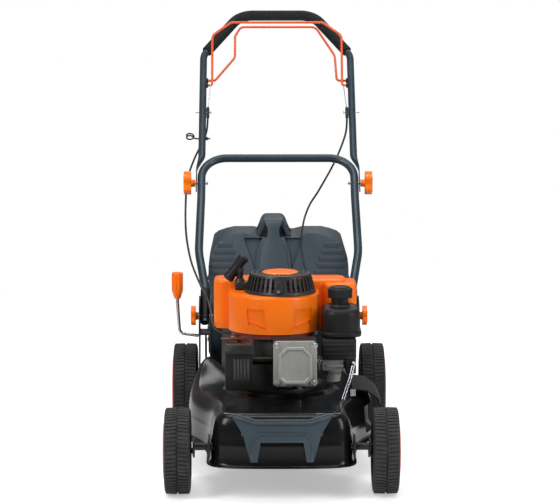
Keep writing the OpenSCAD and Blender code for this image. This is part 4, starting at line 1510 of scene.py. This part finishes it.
    def rope_guide(self) -> None:
        """The wire pigtail that guides the starter rope, with the nut of its stem."""
        x, r = self.guide_x, self.guide_radius
        turns = [2 * math.pi * i / 20 for i in range(1, 33)]
        loop = [on_slope(self.guide_s + 1.1 * a, x + r * math.cos(a), r * math.sin(a)) for a in turns]
        stem = [on_slope(self.guide_s - 0.5, place) for place in (-168, -180, -192, -204)]
        wire = tube("guide", flowing(stem + loop, 3), 1.9, 4)
        nut = across("nut", -179, -174, slope_yz(self.guide_s, 0), 4.5)
        pigtail = join([wire, nut], "guide")
        dress(pigtail, "rope_guide_pigtail", DARK_STEEL, "upper_handle", ["rope_guide"], 40)


@dataclass
class Knobs:
    """Lobed clamping knobs with their studs, two at the handle's fold and two at its feet."""

    lobes: int = 5
    lobe_depth: float = 0.13
    points: int = 90
    neck_share: float = 0.36
    stud_radius: float = 4.0

    def build(self) -> None:
        """Build the four knobs."""
        for level, axis, foot, tip, radius, depth in (
            ("upper", KNOB_AXIS, 203.0, 172.0, 30.0, 29.0), ("lower", LOW_AXIS, 190.0, 156.0, 24.0, 18.0)
        ):
            left = self.grip(axis, foot, radius, depth)
            stud = across("stud", tip, foot + 3, axis, self.stud_radius)
            for side in ("left", "right"):
                body = f"knob_{level}_{side}"
                grip = left if side == "left" else mirrored(left, body)
                bolt = stud if side == "left" else mirrored(stud, body)
                dress(grip, body + "_grip", ORANGE_GLOSS, body, [body], 40)
                dress(bolt, body + "_stud", BRIGHT_STEEL, body)

    def grip(self, axis: Point2, foot: float, radius: float, depth: float) -> Piece:
        """The moulded part of one knob on the mower's left.

        Args:
            axis: y and z of its axis.
            foot: the x of its seat.
            radius: its largest radius.
            depth: its height above the seat.

        Returns:
            The knob.
        """
        outline = []
        for a in angles(self.points):
            r = radius * (1 - self.lobe_depth + self.lobe_depth * math.cos(self.lobes * a))
            outline.append((axis[0] + r * math.cos(a), axis[1] + r * math.sin(a)))
        seat = self.neck_share * depth
        head = prism("knob", outline, Plane.SIDE, foot + seat, foot + depth - 1)
        with edit_mode(head):
            pick_facing(head, LEFT)
            bpy.ops.mesh.inset(thickness=0.004, depth=0.001)
            bpy.ops.mesh.inset(thickness=0.004, depth=-0.002)
        round_edges(head, 0.0016, 3, 40)
        collar = [(0, 0), (8.2, 0), (9, 0.8), (9, seat - 2), (11, seat + 1), (0, seat + 1)]
        centre = [(0, depth - 6), (6.5, depth - 6), (6.5, depth - 1.6), (5, depth - 0.4), (0, depth)]
        parts = [lathe("part", profile, mm(foot, *axis), LEFT, 40) for profile in (collar, centre)]
        return join([head, *parts], "knob")


@dataclass
class Cables:
    """The control cables, their inner wires and the starter rope."""

    radius: float = 2.5
    wire_radius: float = 0.9
    rope_radius: float = 1.8
    steps: int = 8
    clamp_s: Point2 = (218.2, 248.0)
    engine_route: Sequence[Point3] = (
        (-225, 750, 484), (-219, 690, 446), (-206, 612, 408), (-182, 520, 368), (-166, 460, 346),
        (-158, 400, 328), (-152, 330, 310), (-132, 280, 303), (-110, 262, 304),
    )
    drive_route: Sequence[Point3] = (
        (100, 832, 560), (76, 790, 528), (60, 725, 492), (54, 650, 446), (64, 585, 400), (100, 520, 330),
        (132, 500, 250), (140, 500, 180), (139, 506, 150), (125, 522, 124),
    )

    def build(self) -> None:
        """Build both cables and the rope."""
        low = self.clamp_s[0]
        engine = [
            on_slope(low, -CLAMP_X), on_slope(175, -180, -19), on_slope(100, -208, -26),
            on_slope(40, -224, -35), on_slope(-30, -227, -37), *[mm(*place) for place in self.engine_route],
        ]
        drive = [
            on_slope(low, CLAMP_X), on_slope(175, 170, -19), on_slope(95, 142, -30),
            *[mm(*place) for place in self.drive_route],
        ]
        self.cable("cable_a", engine, 6)
        self.cable("cable_b", drive, 4)
        self.inner_wire("bail_a", -1, on_slope(325, -168, 6))
        self.inner_wire("bail_b", 1, on_slope(352, 166, 0))
        self.rope()

    def cable(
        self, node: str, points: Sequence[Vector], split: int
    ) -> None:
        """One cable in two lengths that meet on the lower handle.

        Args:
            node: the CAD node that it stands for.
            points: its route from the clamp down.
            split: the number of the point where the lengths meet.
        """
        line = flowing(points, self.steps)
        upper = tube(node + "_top", line[: split * self.steps + 1], self.radius, 3)
        lower = tube(node + "_low", line[split * self.steps :], self.radius, 3)
        paint(upper, node + "_upper_length", CABLE_SKIN)
        paint(lower, node + "_lower_length", CABLE_SKIN)
        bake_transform(upper)
        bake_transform(lower)
        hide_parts(node)
        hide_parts(node)

    def inner_wire(self, bail: str, side: int, hook: Vector) -> None:
        """The bare wire between a clamp and a bail.

        Args:
            bail: the bail's body.
            side: 1 on the mower's left, -1 on its right.
            hook: where it grips the bail.
        """
        clamp = on_slope(self.clamp_s[1], side * CLAMP_X)
        wire = tube(bail + "_pull", [clamp.lerp(hook, i / 12) for i in range(13)], self.wire_radius, 3)
        paint(wire, bail + "_pull_wire", BRIGHT_STEEL)
        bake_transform(wire)

    def rope(self) -> None:
        """The starter rope from the cover's window up to its grip."""
        bend = fillet([mm(-54, 294, 410.5), mm(*ROPE, 410.5), mm(*ROPE, 423.6)], [0.006], 6)
        rise = [mm(*ROPE, 417 + 0.4 * i) for i in range(17)]
        line = [p for p in bend if p.z < mm(*ROPE, 416.8).z] + rise
        rope = tube("rope", line, self.rope_radius, 3)
        paint(rope, "starter_rope", ROPE_SKIN)
        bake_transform(rope)
        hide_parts("recoil_rope")


# Engine


@dataclass
class EngineTop:
    """Blower housing, recoil starter with its slotted cover, and the starter grip."""

    low: float = 312.0
    rear_low: float = 305.0
    seat: float = 397.0
    seat_radius: float = 81.0
    bore_radius: float = 60.0
    wing: tuple[Point2, Point2] = ((-150.0, 318.0), (150.0, 402.0))
    wing_top: float = 416.0
    duct: tuple[Point2, Point2] = ((98.0, 305.0), (173.0, 400.0))
    duct_top: float = 409.0
    middle: Point2 = (-14.0, 280.0)
    half: float = 102.0
    depth: float = 94.0
    back: float = 60.0
    wall: float = 4.5
    rounding: float = 0.008
    panel_x: float = -3.0
    panel_depth: float = 2.7
    panels: Sequence[Outline] = (
        ((34, 367), (72, 367), (70, 343), (31, 331)), ((30, 327), (69, 339), (68, 333.5), (28, 321)),
    )
    cover_top: float = 441.0
    slots: int = 40
    slot_half: float = 3.1
    boss_gap: float = 0.2
    hole_rows: Sequence[Point3] = ((44.5, 51.5, 2.1), (54.5, 61.5, 2.7))

    def build(self) -> None:
        """Build the housing and what stands on it."""
        self.housing()
        self.base_band()
        self.cover()
        self.boss()
        self.rope_outlet()
        self.disc()
        self.grip()

    def plan(self, inset: float) -> list[Point2]:
        """The housing from above: a half ellipse in front and straight sides behind.

        Args:
            inset: how far it is moved in all round.

        Returns:
            The outline.
        """
        x, y = self.middle
        half = self.half - inset
        deep = half * self.depth / self.half
        arc = [math.pi + math.pi * i / 48 for i in range(49)]
        front = [(x + half * math.cos(a), y + deep * math.sin(a)) for a in arc]
        return [(x - half, y + self.back - inset), *front, (x + half, y + self.back - inset)]

    def housing(self) -> None:
        """The moulded housing: rounded front, raised rear body and side duct, open below."""
        piece = prism("front", self.plan(0), Plane.TOP, self.low - 12, self.seat)
        rear = prism("wing", round_rectangle(*self.wing, 24, 8), Plane.TOP, 290, self.wing_top)
        duct = prism("duct", round_rectangle(*self.duct, 15), Plane.TOP, 290, self.duct_top)
        for part in (piece, rear, duct):
            round_edges(part, self.rounding, 4, 60)
        cut(piece, rear, duct, operation="UNION")
        cut(
            piece,
            drill(self.seat_radius, 59.94, mm(0, BLADE_Y, self.seat + 0.06), 96),
            block("trim_front", (-200, 150, 280), (200, 300, self.low)),
            block("trim_back", (-200, 290, 280), (200, 450, self.rear_low)),
            prism("hollow", self.plan(self.wall), Plane.TOP, 280, self.seat - 3.5),
            drill(self.bore_radius, 40, mm(0, BLADE_Y, self.seat - 20), 64),
        )
        for side in (-1, 1):
            for corners in self.panels:
                cut(piece, self.panel_tool([(self.panel_x + side * x, z) for x, z in corners]))
        dress(piece, "blower_housing", ORANGE_GLOSS, "chassis", ["shroud"], 40)

    def panel_tool(self, outline: Outline) -> Piece:
        """A cutter that sinks an outline into the rounded front by the same depth everywhere.

        Args:
            outline: the panel from the front.

        Returns:
            The cutter.
        """
        tool = prism("panel", outline, Plane.FRONT, 150, 260)
        cut(tool, prism("core", self.plan(self.panel_depth), Plane.TOP, self.low - 20, self.seat + 20))
        return tool

    def base_band(self) -> None:
        """A rim under the housing's front edge, coloured dark red as painted shade of the orange housing
        there.
        """
        band = prism("band", self.plan(4), Plane.TOP, 301, self.low - 0.4)
        inner = prism("inner", self.plan(12), Plane.TOP, 290, 330)
        cut(band, inner, block("rear", (-200, 268, 280), (200, 460, 340)))
        # The dark red here is painted shade under the housing's overhang.
        dress(band, "blower_base", SHADED_ORANGE, "chassis")

    def cover(self) -> None:
        """The starter cover: a turned cone with slots all round and a pierced top, over a collar coloured
        dark red as painted shade of the orange housing's inside.
        """
        top, seat = self.cover_top, self.seat
        profile = [
            (80, seat + 0.3), (80.5, seat + 3), (79.5, seat + 6), (77.6, seat + 8), (68.8, top - 4),
            (66.5, top - 0.8), (63, top), (43, top), (40.8, top - 1), (40.4, top - 3), (62, top - 3.2),
            (65.4, top - 5), (74.4, seat + 8), (76.6, seat + 6), (76.8, seat + 0.3),
        ]
        centre = mm(0, BLADE_Y, 0)
        piece = lathe("cover", profile, centre, UP, 120)
        front = -math.pi / 2
        between = angles(self.slots, 0.5)
        free = [a for a in between if abs(math.remainder(a - front, 2 * math.pi)) >= self.boss_gap]
        y = BLADE_Y - self.slot_half, BLADE_Y + self.slot_half
        slot = block("slot", (60, y[0], seat + 8), (86, y[1], top - 5.5))
        slots = repeated(slot, [turned(a, "Z", centre) for a in free])
        window = block("window", (-96, BLADE_Y + 14, 404), (-58, BLADE_Y + 34, 417))
        holes = []
        for inner, outer, half in self.hole_rows:
            hole = block("hole", (inner, BLADE_Y - half, top - 8), (outer, BLADE_Y + half, top + 4))
            holes += repeated(hole, [turned(a, "Z", centre) for a in angles(self.slots)])
        cut(piece, join(slots, "slots"), window, join(holes, "holes"))
        dress(piece, "starter_cover", COVER_GREY, "chassis", ["recoil_cover"], 30)
        # The housing's own inside collar, seen through the slots; its dark red is painted shade of the
        # orange.
        collar = [(66, seat + 0.4), (71, seat + 0.4), (71, seat + 13), (66, seat + 13)]
        dress(lathe("collar", collar, centre, UP, 80), "starter_collar", SHADED_ORANGE, "chassis")

    def boss(self) -> None:
        """The oval boss at the front of the starter cover, with its screw."""
        x, z = -5, 415
        oval = [(x + 9.5 * math.cos(a), z + 14.5 * math.sin(a)) for a in angles(36)]
        piece = prism("boss", oval, Plane.FRONT, 189, 202)
        round_edges(piece, 0.003, 3, 50)
        lean = turned(math.radians(-17), "X", mm(0, 196, z))
        piece.data.transform(lean)
        dress(piece, "starter_boss", COVER_GREY, "chassis")
        head = [(0, 0), (3.6, 0), (3.6, 1), (2.6, 2.2), (0, 2.6)]
        screw = lathe("screw", head, mm(x, 189.4, z - 9), AHEAD, 24)
        screw.data.transform(lean)
        dress(screw, "starter_screw", BRIGHT_STEEL, "chassis")

    def rope_outlet(self) -> None:
        """The seat beside the starter cover that guides the rope and carries the grip."""
        x, y = ROPE
        foot = block("outlet", (x - 11, y - 11, self.seat + 0.2), (x + 22, y + 11, 416), 4)
        profile = [(0, 0), (12, 0), (11, 5), (8.5, 9), (5.5, 9.4), (3.2, 7), (0, 7)]
        lip = lathe("lip", profile, mm(x, y, 414), UP, 32)
        dress(join([foot, lip], "outlet"), "rope_outlet", COVER_GREY, "chassis", (), 40)

    def disc(self) -> None:
        """The disc in the middle of the starter cover, with a rolled rim and a ring groove."""
        z = self.cover_top
        profile = [
            (0, z - 2.7), (39.2, z - 2.7), (39.7, z - 1), (39, z + 1.4), (37, z + 2.2), (34, z + 2),
            (33, z + 1.2), (31, z + 1.2), (30, z + 2), (10, z + 2.7), (0, z + 2.8),
        ]
        piece = lathe("disc", profile, mm(0, BLADE_Y, 0), UP, 80)
        dress(piece, "starter_disc", ORANGE_GLOSS, "chassis", ["recoil_disc"], 30)

    def grip(self) -> None:
        """The starter's T grip: a waisted bar on a tapered neck."""
        waist = [(12.4 - 1.8 * math.sin(math.pi * i / 12), 6 + 4.5 * i) for i in range(1, 12)]
        profile = [
            (0, 0), (9, 0.3), (12, 2.4), (12.8, 6.5), *waist, (12.8, 60), (12, 64), (9, 66.1), (0, 66.4)
        ]
        bar = lathe("bar", profile, mm(-119, ROPE[1], 420), Vector((40, 0, 53)), 32)
        taper = [(0, 0), (7, 0), (8, 1), (7.4, 9), (10, 22), (0, 28)]
        neck = lathe("neck", taper, mm(*ROPE, 424), UP, 28)
        grip = join([bar, neck], "grip")
        dress(grip, "starter_grip_bar", BLACK_PLASTIC, "starter_grip", ["recoil_handle"], 40)


@dataclass
class EngineBody:
    """Finned cylinder, valve cover, muffler with its guard, carburettor, tank and air filter."""

    flange_low: Point2 = (-17.0, 217.0)
    flange_high: Point2 = (78.0, 317.0)
    bolt_x: Point2 = (-10.0, 72.0)
    bolt_z: Point2 = (226.0, 308.0)
    foot_bolts: Sequence[float] = (60.0, 180.0, 300.0)
    foot_bolt_radius: float = 82.0
    guard_low: Point2 = (-122.0, 203.0)
    guard_high: Point2 = (-62.0, 300.0)
    guard_slots: int = 5
    slot_pitch: float = 7.6
    tank_low: Point2 = (92.0, 182.0)
    tank_high: Point2 = (177.0, 300.0)
    tank_z: Point2 = (306.0, 369.0)
    tank_corner: float = 32.0
    neck_bore: float = 16.2
    cap_ribs: int = 28
    rod_gap: float = 5.0

    def build(self) -> None:
        """Build what is bolted round the cylinder."""
        dress_softened("engine_block", "cylinder_block", ENGINE_BLACK, 0.0009)
        self.valve_cover()
        self.bolts()
        self.exhaust()
        self.carburettor()
        self.tank()
        self.filler_cap()
        self.air_filter()
        self.governor_rods()

    def valve_cover(self) -> None:
        """The cast cover: a flange, a raised ring with cut corners and a sunk panel."""
        outline = round_rectangle(self.flange_low, self.flange_high, 9)
        flange = prism("flange", outline, Plane.FRONT, 79.7, 86.7)
        round_edges(flange, 0.0014, 3)
        ring = [(6, 224), (55, 224), (67, 236), (67, 288), (50, 306), (11, 306), (-6, 288), (-6, 236)]
        floor = [(10, 231), (51, 231), (60, 240), (60, 285), (47, 299), (14, 299), (1, 285), (1, 240)]
        panel = prism("panel", round_outline(ring, 5, 4), Plane.FRONT, 64, 82)
        cut(panel, prism("floor", round_outline(floor, 4, 4), Plane.FRONT, 60, 67))
        round_edges(panel, 0.0016, 3, 25)
        cover = join([flange, panel], "cover")
        dress(cover, "valve_cover_casting", CAST_ALLOY, "chassis", ["valve_cover"], 40)

    def bolt(self, place: Vector, axis: Vector) -> Piece:
        """A hexagon bolt head on its washer.

        Args:
            place: the middle of the washer's seat.
            axis: the direction that the head points in.

        Returns:
            The bolt.
        """
        washer = lathe("washer", [(0, 0), (7.5, 0), (7.5, 1.2), (0, 1.4)], place, axis, 28)
        head = lathe("head", [(0, 1), (5.6, 1), (5.6, 5), (4.9, 5.8), (0, 6)], place, axis, 6)
        return join([washer, head], "bolt")

    def bolts(self) -> None:
        """The bolts of the valve cover and of the engine's foot."""
        pieces = [self.bolt(mm(x, 79.6, z), AHEAD) for x in self.bolt_x for z in self.bolt_z]
        for angle in self.foot_bolts:
            arm = self.foot_bolt_radius * Matrix.Rotation(math.radians(angle), 3, "Z") @ LEFT
            pieces.append(self.bolt(mm(arm.x, BLADE_Y + arm.y, 190.5), UP))
        dress(join(pieces, "bolts"), "engine_bolt_heads", BRIGHT_STEEL, "chassis", ["engine_bolts"], 30)

    def exhaust(self) -> None:
        """The muffler with its face, and its guard with a hood, a ledge and upright slots."""
        dress_softened("muffler", "muffler_box", MUFFLER_STEEL, 0.002, 3, 40)
        face = block("face", (-108, 110.4, 219), (-64, 112.6, 279), 0.8)
        dress(face, "muffler_face", CAST_ALLOY, "chassis", (), 40)
        low, high = self.guard_low, self.guard_high
        plate = prism("plate", round_rectangle(low, high, 6), Plane.FRONT, 103.5, 108)
        bend = [(98, 288), (106, 304.5), (150, 304.5), (150, 300), (109, 300), (104, 288)]
        hood = prism("hood", bend, Plane.SIDE, low[0], high[0])
        ledge = block("ledge", (low[0] + 1, 96.5, 284), (high[0] - 1, 106, 288), 1)
        for part in (plate, hood):
            round_edges(part, 0.0014, 2)
        starts = [-104.5 + self.slot_pitch * i for i in range(self.guard_slots)]
        slots = [block("slot", (x, 90, 224), (x + 4.5, 120, 274), 1.6) for x in starts]
        cut(plate, join(slots, "slots"))
        guard = join([plate, hood, ledge], "guard")
        dress(guard, "muffler_shield", GUARD_BLACK, "chassis", ["muffler_guard"])

    def carburettor(self) -> None:
        """The carburettor with its bowl, choke plate and throttle lever."""
        bowl = [
            (0, 0), (5, 0), (5, 3), (13, 4), (17.5, 7), (19, 12), (19, 24), (21.5, 25), (21.5, 29), (0, 29)
        ]
        parts = [
            softened("carburettor", 0.0016, 3),
            lathe("bowl", bowl, mm(115, 203, 204), UP, 40),
            block("choke", (90, 176, 255.4), (142, 222, 258), 0.8),
            block("throttle", (100, 172, 243), (139, 180, 247), 1.2),
        ]
        dress(join(parts, "carburettor"), "carburettor_body", CAST_ALLOY, "chassis", ["carburettor"], 40)

    def cap_axis(self) -> Point2:
        """The x and y of the fuel cap's middle in the frame."""
        low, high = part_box("fuel_cap")
        return (low.x + high.x) / 2, (low.y + high.y) / 2

    def tank(self) -> None:
        """The moulded tank with its seam rim, rounded shoulders and filler neck."""
        (x0, y0), (x1, y1) = self.tank_low, self.tank_high
        low, high = self.tank_z
        plan = round_rectangle((x0, y0), (x1, y1), self.tank_corner, 9)
        body = prism("tank", plan, Plane.TOP, low, high)
        round_edges(body, 0.014, 6, 60)
        seam = round_rectangle((x0 - 2, y0 - 2), (x1 + 3, y1 + 2), self.tank_corner, 9)
        rim = prism("rim", seam, Plane.TOP, low, low + 11)
        round_edges(rim, 0.0024, 3, 60)
        profile = [(16.3, 0), (24, 0), (23, 5), (19.5, 8), (19, 19), (16.3, 19)]
        neck = lathe("neck", profile, Vector((*self.cap_axis(), (high - 2) / 1000)), UP, 48)
        cut(body, drill(self.neck_bore, 40, Vector((*self.cap_axis(), (high - 20) / 1000)), 48))
        dress(join([body, rim, neck], "tank"), "tank_body", BLACK_PLASTIC, "chassis", ["fuel_tank"], 40)

    def filler_cap(self) -> None:
        """The fuel cap with grip ribs round its edge and a stepped top."""
        foot = Vector((*self.cap_axis(), 0))
        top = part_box("fuel_cap")[1].z * 1000
        skirt = top - 25
        profile = [
            (0, skirt - 13), (15.6, skirt - 13), (15.6, skirt), (25, skirt), (26, skirt + 1), (26, top - 5),
            (24.6, top - 3.4), (22, top - 2.4), (20.5, top), (14, top), (13, top - 1), (0, top - 1),
        ]
        core = lathe("core", profile, foot, UP, 84)
        rib = block("rib", (24.5, -1.5, skirt + 0.5), (27.5, 1.5, top - 4.5), 0.7)
        rib.data.transform(Matrix.Translation(-mm(0, 0, 0)))
        turns = [Matrix.Translation(foot) @ spun(a) for a in angles(self.cap_ribs)]
        cap = join([core, *repeated(rib, turns)], "cap")
        dress(cap, "filler_cap", BLACK_PLASTIC, "fuel_cap", ["fuel_cap"])

    def air_filter(self) -> None:
        """The air filter's cover with ribs across its front, and the intake leg on the engine below it."""
        lid = softened("air_filter_cover", 0.003, 3)
        cut(lid, block("below", (138, 150, 220), (175, 280, 261.2)))
        leg = block("leg", (143.4, 168.4, 228), (166.6, 261, 260.8), 3)
        dress(leg, "air_intake_leg", BLACK_PLASTIC, "chassis", (), 40)
        ribs = [block("rib", (94, 165.6, z), (165, 170, z + 4), 1.2) for z in (270, 280, 290)]
        node = "air_filter_cover"
        dress(join([lid, *ribs], "lid"), "air_filter_lid", BLACK_PLASTIC, NODE_BODY[node], [node], 40)

    def governor_rods(self) -> None:
        """The bright ball joint beside the air filter and the two rods down to the deck."""
        arc = [math.radians(degrees) for degrees in range(30, 180, 15)]
        round_end = [(5.2 * math.sin(a), 8.5 - 5.2 * math.cos(a)) for a in arc]
        profile = [(0, 0), (4, 0), (4, 4), *round_end, (0, 13.7)]
        parts = [lathe("ball", profile, mm(161, 168.6, 253), AHEAD, 28)]
        route = ((162, 158, 249), (156, 148, 226), (143, 122, 194), (138, 112, 181))
        for shift in (0.0, self.rod_gap):
            parts.append(tube("rod", flowing([mm(x - shift, y, z) for x, y, z in route], 6), 1.4, 3))
        dress(join(parts, "rods"), "control_rods", BRIGHT_STEEL, "chassis", (), 40)


# Grass box and flaps


@dataclass
class GrassBox:
    """Moulded grass box with its ribbed shoulders, sunk panels, neck and carrying handle."""

    front: float = 658.0
    rear: float = 1078.0
    foot: float = 150.0
    slope_low: float = 307.0
    slope_y: float = 735.0
    top: float = 474.0
    half: float = 169.0
    wall: float = 3.0
    taper_y: float = 750.0
    rear_taper: float = 11.0
    back_drop: float = 9.0
    dip: float = 458.0
    ridge_x: float = -12.0
    grip_top: float = 500.0
    panel_depth: float = 9.0
    panel: Outline = ((72, 457), (26, 457), (33, 440), (39, 425), (42, 384), (46, 384))
    bell: Outline = ((46, 0), (40, 8), (35.5, 18), (31.5, 29), (27, 38), (20, 43))
    tunnel: Outline = ((36, -2), (30, 8), (25.5, 18), (21, 27), (16, 31))
    neck_lift: float = 4.5
    neck_sheet: float = 10.0
    neck_low: Outline = (
        (460, 16), (450, 21), (441, 27), (433, 30.5), (418, 32), (390, 35), (350, 37), (330, 37)
    )
    shoulders: Sequence[Point3] = (
        (447, 112, 146), (431, 106, 156), (415, 100, 161), (399, 94, 162), (383, 88, 163)
    )
    shoulder_step: float = 13.0
    flap_top: float = 372.0

    def build(self) -> None:
        """Build the box and its details as one moulding, and the flaps and chute ahead of it."""
        parts = [self.shell(), self.handle(), self.neck(), *self.shoulder_ribs(), *self.side_ribs()]
        node = "grass_box"
        dress(join(parts, "box"), "grass_box_shell", SLATE_PLASTIC, NODE_BODY[node], [node])
        self.flaps()

    def on_front(self, z: float) -> float:
        """The y of the sloping front at a height."""
        return self.front + (z - self.slope_low) * (self.slope_y - self.front) / (self.top - self.slope_low)

    def side_outline(self, inset: float, sunk: float = 0.0) -> list[Point2]:
        """The box from the side.

        Args:
            inset: how far it is moved in all round.
            sunk: how much further its front is moved in.

        Returns:
            The outline as (y, z).
        """
        rear, front = self.rear - inset, self.front + inset + sunk
        return [
            (front, self.foot + inset), (front, self.slope_low),
            (self.slope_y + 0.6 * inset + sunk, self.top - inset), (890, self.top - self.back_drop - inset),
            (rear - 30, 420 - inset), (rear, 300), (rear - 18, self.foot + inset),
        ]

    def front_outline(self, inset: float) -> list[Point2]:
        """The box from the front, with round shoulders and a shallow dip under the handle.

        Args:
            inset: how far it is moved in all round.

        Returns:
            The outline as (x, z).
        """
        w = self.half - inset
        return symmetric([
            (w - 14, self.foot + inset), (w, 190), (w, 390), (w - 2, 410 - inset / 2),
            (w - 9, 430 - inset / 2), (w - 21, 446 - inset), (w - 41, 458 - inset), (108, 466 - inset),
            (88, 470 - inset), (70, 469 - inset), (56, 464 - inset), (44, self.dip - inset),
        ])

    def body(self, inset: float, sunk: float = 0.0) -> Piece:
        """The closed body.

        Args:
            inset: how far it is moved in all round.
            sunk: how much further its front is moved in.

        Returns:
            The body.
        """
        w = self.half - inset
        behind = w - self.rear_taper
        plan = symmetric([(w, 600), (w, self.taper_y), (behind, self.rear), (behind - 1, 1200)])
        piece = prism("box", self.side_outline(inset, sunk), Plane.SIDE, -200, 200)
        front = prism("front", self.front_outline(inset), Plane.FRONT, 600, 1200)
        cut(piece, front, prism("plan", plan, Plane.TOP, 100, 600), operation="INTERSECT")
        return piece

    def shell(self) -> Piece:
        """The hollow box with its mouth, finger recess and sunk front panels.

        Returns:
            The box.
        """
        x = self.ridge_x
        piece = self.body(0)
        round_edges(piece, 0.009, 4, 24)
        inner = self.body(self.wall, self.panel_depth)
        cut(inner, block("keep", (x - 44, 748, self.dip - 16), (x + 44, 854, self.top + 5)))
        cut(
            piece,
            inner,
            block("recess", (x - 40, 766, self.dip - 12), (x + 40, 850, self.top + 5), 5),
            block("mouth", (-128, self.front - 8, 192), (38, self.front + 16, 296)),
        )
        for side in (-1, 1):
            tool = prism("panel", [(x + side * a, z) for a, z in self.panel], Plane.FRONT, 640, 760)
            cut(tool, prism("core", self.side_outline(0, self.panel_depth), Plane.SIDE, -220, 220))
            cut(piece, tool)
        return piece

    def handle(self) -> Piece:
        """The carrying handle: a flared bell on the box with a finger tunnel under it.

        Returns:
            The handle.
        """
        x, base = self.ridge_x, self.dip - 1
        piece = prism("bell", symmetric(self.bell, x, base), Plane.FRONT, 748, 872)
        round_edges(piece, 0.004, 3, 25)
        cut(
            piece,
            prism("tunnel", symmetric(self.tunnel, x, base), Plane.FRONT, 735, 846),
            block("fingers", (x - 60, 772, base - 4), (x + 60, 838, base + 27), 6),
        )
        return piece

    def neck(self) -> Piece:
        """The strap that runs from the handle down the front and widens like a bottle.

        Returns:
            The strap.
        """
        top = self.grip_top
        stations = [
            (776, top + 1, 24), (752, top + 1, 23.5), (741, top - 4, 22), (734, top - 13, 18),
            (731, 479, 14.5), (728, 470, 14),
        ]
        stations += [(self.on_front(z) - self.neck_lift, z, half) for z, half in self.neck_low]
        deselect()
        bpy.ops.mesh.primitive_grid_add(x_subdivisions=2, y_subdivisions=len(stations) - 1, size=1)
        piece = bpy.context.object
        for i, vertex in enumerate(piece.data.vertices):
            row, column = divmod(i, 3)
            y, z, half = stations[row]
            bow = 1.5 if column == 1 else 0.0
            vertex.co = mm(self.ridge_x + (column - 1) * half, y - bow, z)
        tidy_mesh(piece)
        if sum(face.normal.y for face in piece.data.polygons) > 0:
            piece.data.flip_normals()
        apply_modifier(piece, "SOLIDIFY", thickness=self.neck_sheet / 1000, offset=-1.0)
        round_edges(piece, 0.0016, 3, 40)
        return piece

    def shoulder_ribs(self) -> list[Piece]:
        """Stepped ribs on both shoulders of the sloping front.

        Returns:
            The ribs.
        """
        ribs = []
        for z, inner, outer in self.shoulders:
            foot = z - self.shoulder_step
            y, low = self.on_front(z), self.on_front(foot)
            outline = [(y + 4, z), (y - 6, z), (low - 0.2, foot), (low + 8, foot)]
            rib = prism("rib", outline, Plane.SIDE, inner, outer)
            round_edges(rib, 0.0014, 2)
            ribs += [rib, mirrored(rib, "rib")]
        return ribs

    def side_ribs(self) -> list[Piece]:
        """Long ribs on the flanks and short ones on the rear of the box.

        Returns:
            The ribs.
        """
        ribs = []
        lean = math.atan2(self.rear_taper, self.rear - self.taper_y)
        for z in range(205, 356, 30):
            rib = block("rib", (self.half - 3, 712, z), (self.half + 2.2, 1010, z + 9), 2)
            rib.data.transform(turned(lean, "Z", mm(self.half, self.taper_y, z)))
            ribs += [rib, mirrored(rib, "rib")]
        for x in range(-112, 113, 56):
            bar = block("rib", (x - 6, 1066, 200), (x + 6, 1074, 290), 2)
            bar.data.transform(turned(math.radians(-7), "X", mm(x, 1070, 245)))
            ribs.append(bar)
        return ribs

    def flaps(self) -> None:
        """The rear flap, the side flap and the discharge chute."""
        rear = softened("rear_flap", 0.0012)
        cut(rear, block("over", (-150, 630, self.flap_top), (70, 760, self.top)))
        dress(rear, "rear_flap_sheet", FLAP_BLACK, NODE_BODY["rear_flap"], ["rear_flap"])
        dress_softened("side_flap", "side_flap_sheet", FLAP_BLACK, 0.0012)
        dress_softened("discharge_chute", "chute_body", BLACK_PLASTIC, 0.0016)


@dataclass
class RunningGear:
    """Height lever with its grip, the brackets and the axles."""

    lever_x: float = -241.2
    lever_y: float = 604.0
    rod_radius: float = 4.0
    grip_z: Point2 = (346.0, 391.0)
    grip_radius: float = 14.0
    grip_points: int = 96
    flutes: int = 8
    flute_depth: float = 1.5
    skirt_low: float = 328.0

    def build(self) -> None:
        """Build the lever and round the edges of the pressed and turned parts."""
        self.lever()
        for node, name, finish, width in (
            ("handle_brackets", "handle_bracket_plates", BRACKET_BLACK, 0.0009),
            ("axle_brackets", "axle_bracket_plates", BRACKET_BLACK, 0.0009),
            ("front_axle", "front_axle_bar", DARK_STEEL, 0.0007),
            ("rear_axle", "rear_axle_bar", DARK_STEEL, 0.0007),
        ):
            dress_softened(node, name, finish, width)

    def lever(self) -> None:
        """The bent rod of the height lever and its fluted grip."""
        x, y = self.lever_x, self.lever_y
        line = [mm(-191.4, y, 239), mm(-236.5, y, 245), mm(x, y, 318), mm(x, y, 386)]
        rod = tube("rod", fillet(line, [0.012, 0.03]), self.rod_radius)
        dress(rod, "height_lever_rod", BRIGHT_STEEL, NODE_BODY["height_lever"], ["height_lever"], 40)
        outline = []
        for a in angles(self.grip_points):
            r = self.grip_radius - self.flute_depth * abs(math.cos(self.flutes * a / 2)) ** 3
            outline.append((x + r * math.cos(a), y + r * math.sin(a)))
        grip = prism("grip", outline, Plane.TOP, *self.grip_z)
        round_edges(grip, 0.005, 4, 60)
        low, high = self.skirt_low, self.grip_z[0] + 2
        profile = [(0, low), (6.5, low), (7.2, low + 0.7), (12.6, high - 3), (13, high), (0, high)]
        grip = join([grip, lathe("skirt", profile, mm(x, y, 0), UP, 40)], "grip")
        dress(grip, "height_lever_grip", ORANGE_GLOSS, NODE_BODY["lever_grip"], ["lever_grip"], 40)


def main() -> None:
    """Build the studio and every sub-assembly in order."""
    logging.basicConfig(level=logging.INFO, format="%(message)s")
    Studio().build()
    dress_nodes()
    for assembly in (
        Deck(), *map(Wheel, WheelPlace), RunningGear(), EngineBody(), EngineTop(), HandleFrame(), Knobs(),
        Cables(), GrassBox(),
    ):
        assembly.build()


if __name__ == "__main__":
    main()
